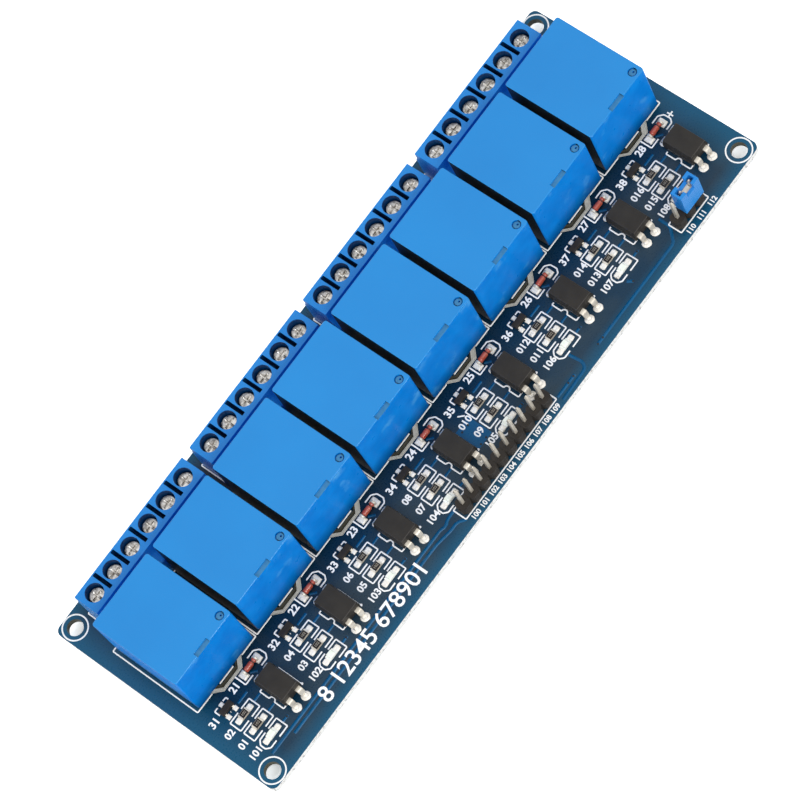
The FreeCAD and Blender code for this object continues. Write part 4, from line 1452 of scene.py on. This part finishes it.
@dataclass
class Board(SubAssembly):
    """The bare board with its printing, covered copper and solder.

    Attributes:
        palette: the board's finishes.
        line: width of a printed line.
        ink: thickness of the ink.
        copper: thickness of the covered copper.
        track: width of a channel's tracks.
        long_track: width of the tracks along the board.
        via: radius of a via.
        title: the long row of figures.
        title_place: X and Y of its middle.
        title_height: its height.
        title_weight: how much its strokes are fattened, for a figure 1 mm high.
        outline_half: half the printed outline of a relay along X.
        outline_front: Y of its front line.
        outline_back: Y of its back line.
        hole_x: X of a mounting hole's centre.
        hole_y: Y of it.
        ring_radius: radius of the ring printed round it.
        far_y: Y of the solder on a coupler's far leads.
        pad_side: X of a chip's solder from its middle.
        foot_side: X of a transistor's outer leads from its middle.
        foot_rows: Y of the solder on its outer leads and its middle lead.
        diode_left: X and Y of a diode's solder from the centre line, at its left end.
        diode_right: the same at its right end.
        coil_y: Y of a relay's middle pin.
        contact_side: X of a relay's other pins from its centre line.
        contact_rows: Y of its other pins.
        block_pin_y: Y of the terminal pins.
    """

    line: float = 0.28
    ink: float = 0.02
    copper: float = 0.012
    track: float = 0.5
    long_track: float = 0.62
    via: float = 0.22
    title: str = "8 12345 678901"
    title_place: Point = (-38.1, -22.3)
    title_height: float = 3.1
    title_weight: float = 0.012
    outline_half: float = 8.2
    outline_front: float = -5.4
    outline_back: float = 14.25
    hole_x: float = 67.3
    hole_y: float = 22.75
    ring_radius: float = 2.38
    far_y: float = -10.65
    pad_side: float = 1.5
    foot_side: float = 0.95
    foot_rows: Point = (-10.5, -8.1)
    diode_left: Point = (1.55, -8.1)
    diode_right: Point = (5.3, -8.05)
    coil_y: float = -3.4
    contact_side: float = 6.0
    contact_rows: Point = (-1.4, 10.8)
    block_pin_y: float = 16.9

    def build(self) -> None:
        """Dress the board and print, plate and solder it."""
        self.dress("circuit_board", BoardFinish.name)
        self.printing()
        self.figures()
        self.tracks()
        self.solder()
        self.underside()

    def channel_strokes(self) -> list[list[Point]]:
        """Return the printed lines of one channel, centred on X = 0."""
        half, front, back = self.outline_half, self.outline_front, self.outline_back
        strokes: list[list[Point]] = [
            [(-4.2, front), (-half, front), (-half, back), (half, back), (half, front), (4.2, front)],
            [(-2.0, front), (1.8, front)],
            [(-5.6, -7.8), (-6.4, -7.8), (-6.4, -9.0)],
            [(-4.1, -7.8), (-3.3, -7.8), (-3.3, -8.4)],
            [(0.45, -6.9), (0.45, -9.35), (2.5, -9.35)],
            [(4.3, -6.6), (5.95, -6.6), (6.75, -7.4), (6.8, -8.8), (6.2, -9.5), (4.7, -9.5)],
            [(6.05, -12.2), (6.05, -17.2), (6.35, -17.6), (6.0, -17.6)],
        ]
        notch = [(0.9 + 0.6 * math.sin(math.pi * i / 8), -14.3 - 0.6 * (1 - math.cos(math.pi * i / 8)))
                 for i in range(9)]
        strokes.append([(1.4, -12.2), (0.9, -12.2), *notch, (0.9, -17.6), (1.95, -17.6)])
        strokes.append([(-4.85, -10.2), (-4.75, -10.2)])
        for high, low in ((-11.35, -13.8), (-14.45, -16.9)):
            strokes.append([(-4.2, high), (-6.45, high), (-6.45, low), (-4.2, low)])
            strokes.append([(-3.35, high), (-1.1, high), (-1.1, low), (-3.35, low)])
        strokes.append([(-4.2, -17.55), (-5.75, -17.55), (-6.45, -18.25), (-6.45, -19.35), (-5.75, -20.05),
                        (-4.2, -20.05)])
        strokes.append([(-3.35, -17.55), (-1.1, -17.55), (-1.1, -20.05), (-3.35, -20.05)])
        return strokes

    def printing(self) -> None:
        """Print the lines of every channel, the header boxes, hole rings and block outlines."""
        master = Bench.ribbons("lines", [eased(stroke) for stroke in self.channel_strokes()], self.line,
                               self.ink, LAYOUT.top)
        channels = Bench.spread(master, "printed_lines", [(x, 0.0) for x in LAYOUT.channel_centres()])
        strokes = [
            [(-13.25, -20.6), (-13.25, -23.45), (12.8, -23.45), (12.8, -20.6), (-13.25, -20.6)],
            [(49.35, -20.6), (49.35, -23.45), (57.3, -23.45), (57.3, -20.6), (49.35, -20.6)],
            [(65.75, -8.3), (67.05, -8.3)],
            [(66.4, -7.65), (66.4, -8.95)],
            [(0.7, -10.7), (1.6, -11.7)],
        ]
        for x in LAYOUT.block_centres():
            strokes.append([(x - 15.4, 14.6), (x - 15.4, 22.4), (x + 15.4, 22.4), (x + 15.4, 14.6)])
        for sign_x in (-1, 1):
            for sign_y in (-1, 1):
                strokes.append(ring(sign_x * self.hole_x, sign_y * self.hole_y, self.ring_radius))
        cornered = [eased(stroke) if len(stroke) < 20 else stroke for stroke in strokes]
        rest = Bench.ribbons("rest", cornered, self.line, self.ink, LAYOUT.top)
        self.deliver(Bench.join("printed_lines", [channels, rest]), "silk_ink", Slot.WHITE)

    def figures(self) -> None:
        """Print plain position numbers beside the parts and pins."""
        labels: list[tuple[str, Point, float]] = []
        for number, x in enumerate(LAYOUT.channel_centres(), start=1):
            labels += [
                (str(30 + number), (x - 8.0, -9.1), 1.4),
                (str(20 + number), (x - 1.1, -8.1), 1.4),
                (f"0{2 * number}", (x - 8.0, -12.6), 1.3),
                (f"0{2 * number - 1}", (x - 8.0, -15.7), 1.3),
                (str(100 + number), (x - 8.0, -18.5), 1.3),
            ]
        for i, (x, _) in enumerate(LAYOUT.input_centres()):
            labels.append((str(100 + i), (x, -24.4), 0.95))
        for i in range(LAYOUT.power_pins):
            labels.append((str(110 + i), (LAYOUT.power_x + 0.1 + i * 3.1, -24.5), 0.95))
        title = Bench.figure(self.title, self.title_place, self.title_height, LAYOUT.top, self.ink,
                             self.title_weight)
        figures = [Bench.figure(text, centre, height, LAYOUT.top, self.ink)
                   for text, centre, height in labels]
        self.deliver(Bench.join("printed_figures", [title, *figures]), "silk_ink", Slot.WHITE)

    def tracks(self) -> None:
        """Lay the copper that shows through the mask, and the vias."""
        channel: list[list[Point]] = [
            [(-2.9, -10.3), (-0.4, -10.3)],
            [(-1.0, -12.4), (0.7, -12.4)],
            [(-1.0, -15.6), (0.7, -15.6)],
            [(-1.0, -18.9), (0.45, -18.9)],
            [(2.6, -8.6), (3.6, -9.6)],
        ]
        master = Bench.ribbons("tracks", [eased(stroke, 0.3) for stroke in channel], self.track,
                               self.copper, LAYOUT.top)
        channels = Bench.spread(master, "tracks", [(x, 0.0) for x in LAYOUT.channel_centres()])
        long = Bench.ribbons("long", [eased(stroke, 0.4) for stroke in (
            [(-65.0, -20.85), (-17.2, -20.85), (-16.2, -21.3), (-15.2, -20.7), (-13.0, -20.7)],
            [(-60.0, -21.9), (-20.0, -21.9), (-16.0, -22.5), (-14.6, -22.4), (-13.2, -23.5)],
            [(24.9, -23.45), (47.0, -23.45), (49.3, -21.0), (49.3, -18.5)],
            [(20.5, -20.3), (20.8, -23.2), (20.0, -24.3), (13.4, -24.5)],
            [(13.2, -23.4), (18.2, -23.4)],
            [(36.9, -20.7), (37.6, -21.7)],
        )], self.long_track, self.copper, LAYOUT.top)
        fill = Bench.block("fill", (-1.9, -17.6, LAYOUT.top), (1.8, -12.3, LAYOUT.top + self.copper))
        self.deliver(Bench.join("covered_tracks", [channels, long, fill]), "covered_copper", Slot.MASK)
        via = Bench.drum("via", (0, 0, LAYOUT.top + self.ink / 2), self.via, self.ink, sides=16)
        vias = [(-1.1, -13.2), (0.5, -13.2), (-1.0, -17.3), (0.5, -17.3), (16.3, -23.4), (17.8, -23.4),
                (24.9, -23.45), (26.3, -23.45), (37.55, -21.65)]
        vias += [(x + 0.15, -18.9) for x in LAYOUT.channel_centres()]
        self.deliver(Bench.spread(via, "vias", vias), "via_shadow", Slot.MASK)

    def blob(self, name: str, wide: float, deep: float, tall: float, seed: int,
             square: float = 0.0) -> bpy.types.Object:
        """Model one drop of set solder on the board.

        Args:
            name: name of the piece.
            wide: size along X.
            deep: size along Y.
            tall: height.
            seed: seed of its uneven surface.
            square: 0 for a round outline, 1 for a square one.

        Returns:
            The drop at X = 0, Y = 0.
        """
        Bench.only()
        bpy.ops.mesh.primitive_uv_sphere_add(segments=16, ring_count=10, radius=1, location=(0, 0, 0))
        drop = bpy.context.object
        drop.name = name
        drop.scale = (wide / 2, deep / 2, tall)
        Bench.settle(drop)
        for vertex in drop.data.vertices:
            x, y, z = vertex.co.x / wide, vertex.co.y / deep, vertex.co.z
            reach = max(abs(x), abs(y), 1e-6) / max(math.hypot(x, y), 1e-6)
            vertex.co.x *= reach ** -square
            vertex.co.y *= reach ** -square
            vertex.co.z = math.copysign(min(abs(z) * 1.6, tall), z)
        Bench.roughen(drop, 0.06 * min(wide, deep), seed)
        Bench.pick(drop, faces=lambda centre, normal: True)
        bpy.ops.mesh.select_all(action="SELECT")
        bpy.ops.mesh.bisect(plane_co=(0, 0, 0), plane_no=(0, 0, 1), clear_inner=True, use_fill=True)
        bpy.ops.object.mode_set(mode="OBJECT")
        drop.data.transform(Matrix.Translation((0, 0, LAYOUT.top)))
        Bench.only(drop)
        bpy.ops.object.shade_smooth_by_angle(angle=math.radians(60))
        return drop

    def solder(self) -> None:
        """Set the solder of the chips, drivers, diodes and coupler leads on the upper face."""
        ring_drop = self.blob("ring", 1.85, 1.85, 0.16, 3)
        far_drop = self.blob("far", 1.35, 1.35, 0.14, 6)
        core_drop = self.blob("core", 1.05, 1.05, 0.70, 4)
        pad = self.blob("pad", 1.20, 1.15, 0.26, 5, 0.8)
        foot = self.blob("foot", 0.90, 0.95, 0.24, 7, 0.9)
        left = self.blob("left", 1.35, 1.75, 0.36, 9, 0.9)
        right = self.blob("right", 1.45, 1.85, 0.36, 11, 0.9)
        copies = []
        half = LAYOUT.pin_pitch / 2
        near = LAYOUT.coupler_rows[0]
        outer, middle = self.foot_rows
        for x in LAYOUT.channel_centres():
            chip, driver = x + LAYOUT.chip_side, x + LAYOUT.driver_side
            for sign in (-1, 1):
                lead = x + LAYOUT.coupler_side + sign * half
                copies.append(Bench.copy(ring_drop, "drop", lead, near))
                copies.append(Bench.copy(core_drop, "drop", lead, near))
                copies.append(Bench.copy(far_drop, "drop", lead, self.far_y))
                for y in LAYOUT.chip_rows:
                    copies.append(Bench.copy(pad, "drop", chip + sign * self.pad_side, y))
                copies.append(Bench.copy(foot, "drop", driver + sign * self.foot_side, outer))
            for drop, (shift, y) in ((left, self.diode_left), (right, self.diode_right)):
                copies.append(Bench.copy(drop, "drop", x + shift, y))
            copies.append(Bench.copy(foot, "drop", driver, middle))
        for master in (ring_drop, far_drop, core_drop, pad, foot, left, right):
            bpy.data.objects.remove(master)
        self.deliver(Bench.join("upper_solder", copies), "solder", Slot.TIN)

    def underside(self) -> None:
        """Set a cone of solder round every pin on the lower face."""
        cone = Bench.drum("cone", (0, 0, -0.45), 0.42, 0.9, sides=20, tip=0.95)
        Bench.round_edges(cone, lambda a, b: abs(a.z - b.z) < 1e-4, 0.12, 2)
        Bench.smooth(cone, 50)
        half = LAYOUT.pin_pitch / 2
        places = LAYOUT.input_centres() + LAYOUT.power_centres()
        for x in LAYOUT.channel_centres():
            places.append((x, self.coil_y))
            places += [(x + sign * self.contact_side, y) for sign in (-1, 1) for y in self.contact_rows]
            places += [(x + LAYOUT.coupler_side + sign * half, y)
                       for sign in (-1, 1) for y in LAYOUT.coupler_rows]
        places += [(x + pole, self.block_pin_y)
                   for x in LAYOUT.block_centres() for pole in LAYOUT.pole_offsets()]
        self.deliver(Bench.spread(cone, "lower_solder", places), "solder", Slot.TIN)


# ---- studio


@dataclass
class Studio:
    """Floor, lights, world and camera, in metres.

    Attributes:
        camera_place: place of the camera.
        camera_turn: axis of the camera's turn, as long as its angle in radians.
        lens: focal length in millimetres.
        sensor: width of the sensor in millimetres.
        floor_size: side of the floor.
        ambient: strength of the world's light.
        seen_paper: colour of the floor that the camera sees.
        seen_veil: light that the floor shows the camera beside its colour.
        lights: place, side and power of each lamp.
    """

    camera_place: Place = (-0.10225, -0.27412, 0.63026)
    camera_turn: Place = (2.408706582, -1.241407677, -0.075326524)
    lens: float = 179.58
    sensor: float = 36.0
    floor_size: float = 12.0
    ambient: float = 0.62
    seen_paper: Colour = (2.0, 2.0, 2.0)
    seen_veil: Colour = (0.23, 0.23, 0.21)
    lights: dict[str, tuple[Place, float, float]] = field(default_factory=lambda: {
        "key": ((-0.10, -0.75, 0.75), 0.50, 4.4),
        "fill": ((-0.75, 0.10, 0.70), 0.45, 1.4),
    })

    def build(self) -> None:
        """Set up the studio."""
        self.floor()
        self.world()
        for name, (place, size, power) in self.lights.items():
            self.light(name, place, size, power)
        self.camera()

    def floor(self) -> None:
        """Lay the pale floor under the pin tips; the camera sees it white, with its shadow."""
        Bench.only()
        bpy.ops.mesh.primitive_plane_add(size=self.floor_size, location=(0, 0, CAD_BOUNDS[0][2]))
        floor = bpy.context.object
        floor.name = "floor"
        shading = Shading("floor_paper")
        paper = shading.mix(shading.spread(shading.noise(2.0), 0.0, 1.0), (0.86, 0.86, 0.86),
                            (0.88, 0.88, 0.88))
        seen = shading.nodes.new("ShaderNodeLightPath").outputs["Is Camera Ray"]
        matt = shading.nodes.new("ShaderNodeBsdfDiffuse")
        shading.links.new(shading.mix(seen, paper, self.seen_paper), matt.inputs["Color"])
        veil = shading.nodes.new("ShaderNodeEmission")
        shading.links.new(shading.mix(seen, (0.0, 0.0, 0.0), self.seen_veil), veil.inputs["Color"])
        both = shading.nodes.new("ShaderNodeAddShader")
        shading.links.new(matt.outputs["BSDF"], both.inputs[0])
        shading.links.new(veil.outputs["Emission"], both.inputs[1])
        shading.links.new(both.outputs["Shader"], shading.nodes["Material Output"].inputs["Surface"])
        floor.data.materials.append(shading.material)

    def world(self) -> None:
        """Light the scene evenly, with a white backdrop in the camera and in reflections."""
        world = bpy.data.worlds.new("studio")
        world.use_nodes = True
        bpy.context.scene.world = world
        nodes, links = world.node_tree.nodes, world.node_tree.links
        path = nodes.new("ShaderNodeLightPath")
        direct = nodes.new("ShaderNodeMath")
        direct.operation = "MAXIMUM"
        shown = nodes.new("ShaderNodeMath")
        shown.operation = "MAXIMUM"
        links.new(path.outputs["Is Camera Ray"], direct.inputs[0])
        links.new(path.outputs["Is Glossy Ray"], direct.inputs[1])
        links.new(direct.outputs[0], shown.inputs[0])
        links.new(path.outputs["Is Transmission Ray"], shown.inputs[1])
        level = nodes.new("ShaderNodeMapRange")
        level.inputs["To Min"].default_value = self.ambient
        level.inputs["To Max"].default_value = 1.0
        links.new(shown.outputs[0], level.inputs["Value"])
        background = nodes["Background"]
        background.inputs["Color"].default_value = (1.0, 1.0, 1.0, 1.0)
        links.new(level.outputs["Result"], background.inputs["Strength"])

    @staticmethod
    def light(name: str, place: Place, size: float, power: float) -> None:
        """Add a soft lamp that faces the board.

        Args:
            name: name of the lamp.
            place: its place in metres.
            size: side of its square.
            power: power in watts.
        """
        lamp = bpy.data.lights.new(name, "AREA")
        lamp.size = size
        lamp.energy = power
        holder = bpy.data.objects.new(name, lamp)
        holder.location = place
        holder.rotation_euler = Vector(place).to_track_quat("Z", "Y").to_euler()
        bpy.context.scene.collection.objects.link(holder)

    def camera(self) -> None:
        """Place the camera where the photograph was taken from."""
        data = bpy.data.cameras.new("camera")
        data.lens = self.lens
        data.sensor_width = self.sensor
        data.clip_start = 0.01
        data.clip_end = 20.0
        camera = bpy.data.objects.new("camera", data)
        bpy.context.scene.collection.objects.link(camera)
        turn = Vector(self.camera_turn)
        seen = Matrix.Rotation(turn.length, 3, turn.normalized())
        camera.matrix_world = (Matrix.Translation(self.camera_place)
                               @ (seen.transposed() @ Matrix.Diagonal((1, -1, -1))).to_4x4())
        bpy.context.scene.camera = camera


def main() -> None:
    """Build the studio and every sub-assembly."""
    logging.basicConfig(level=logging.INFO, format="%(name)s: %(message)s")
    bpy.context.scene.view_settings.view_transform = "Standard"
    Studio().build()
    palette = Palette()
    for kind in (Board, Relays, Terminals, Optocouplers, Diodes, Transistors, Chips, Headers):
        kind(palette).build()
        LOG.info("%s done", kind.__name__)


if __name__ == "__main__":
    main()
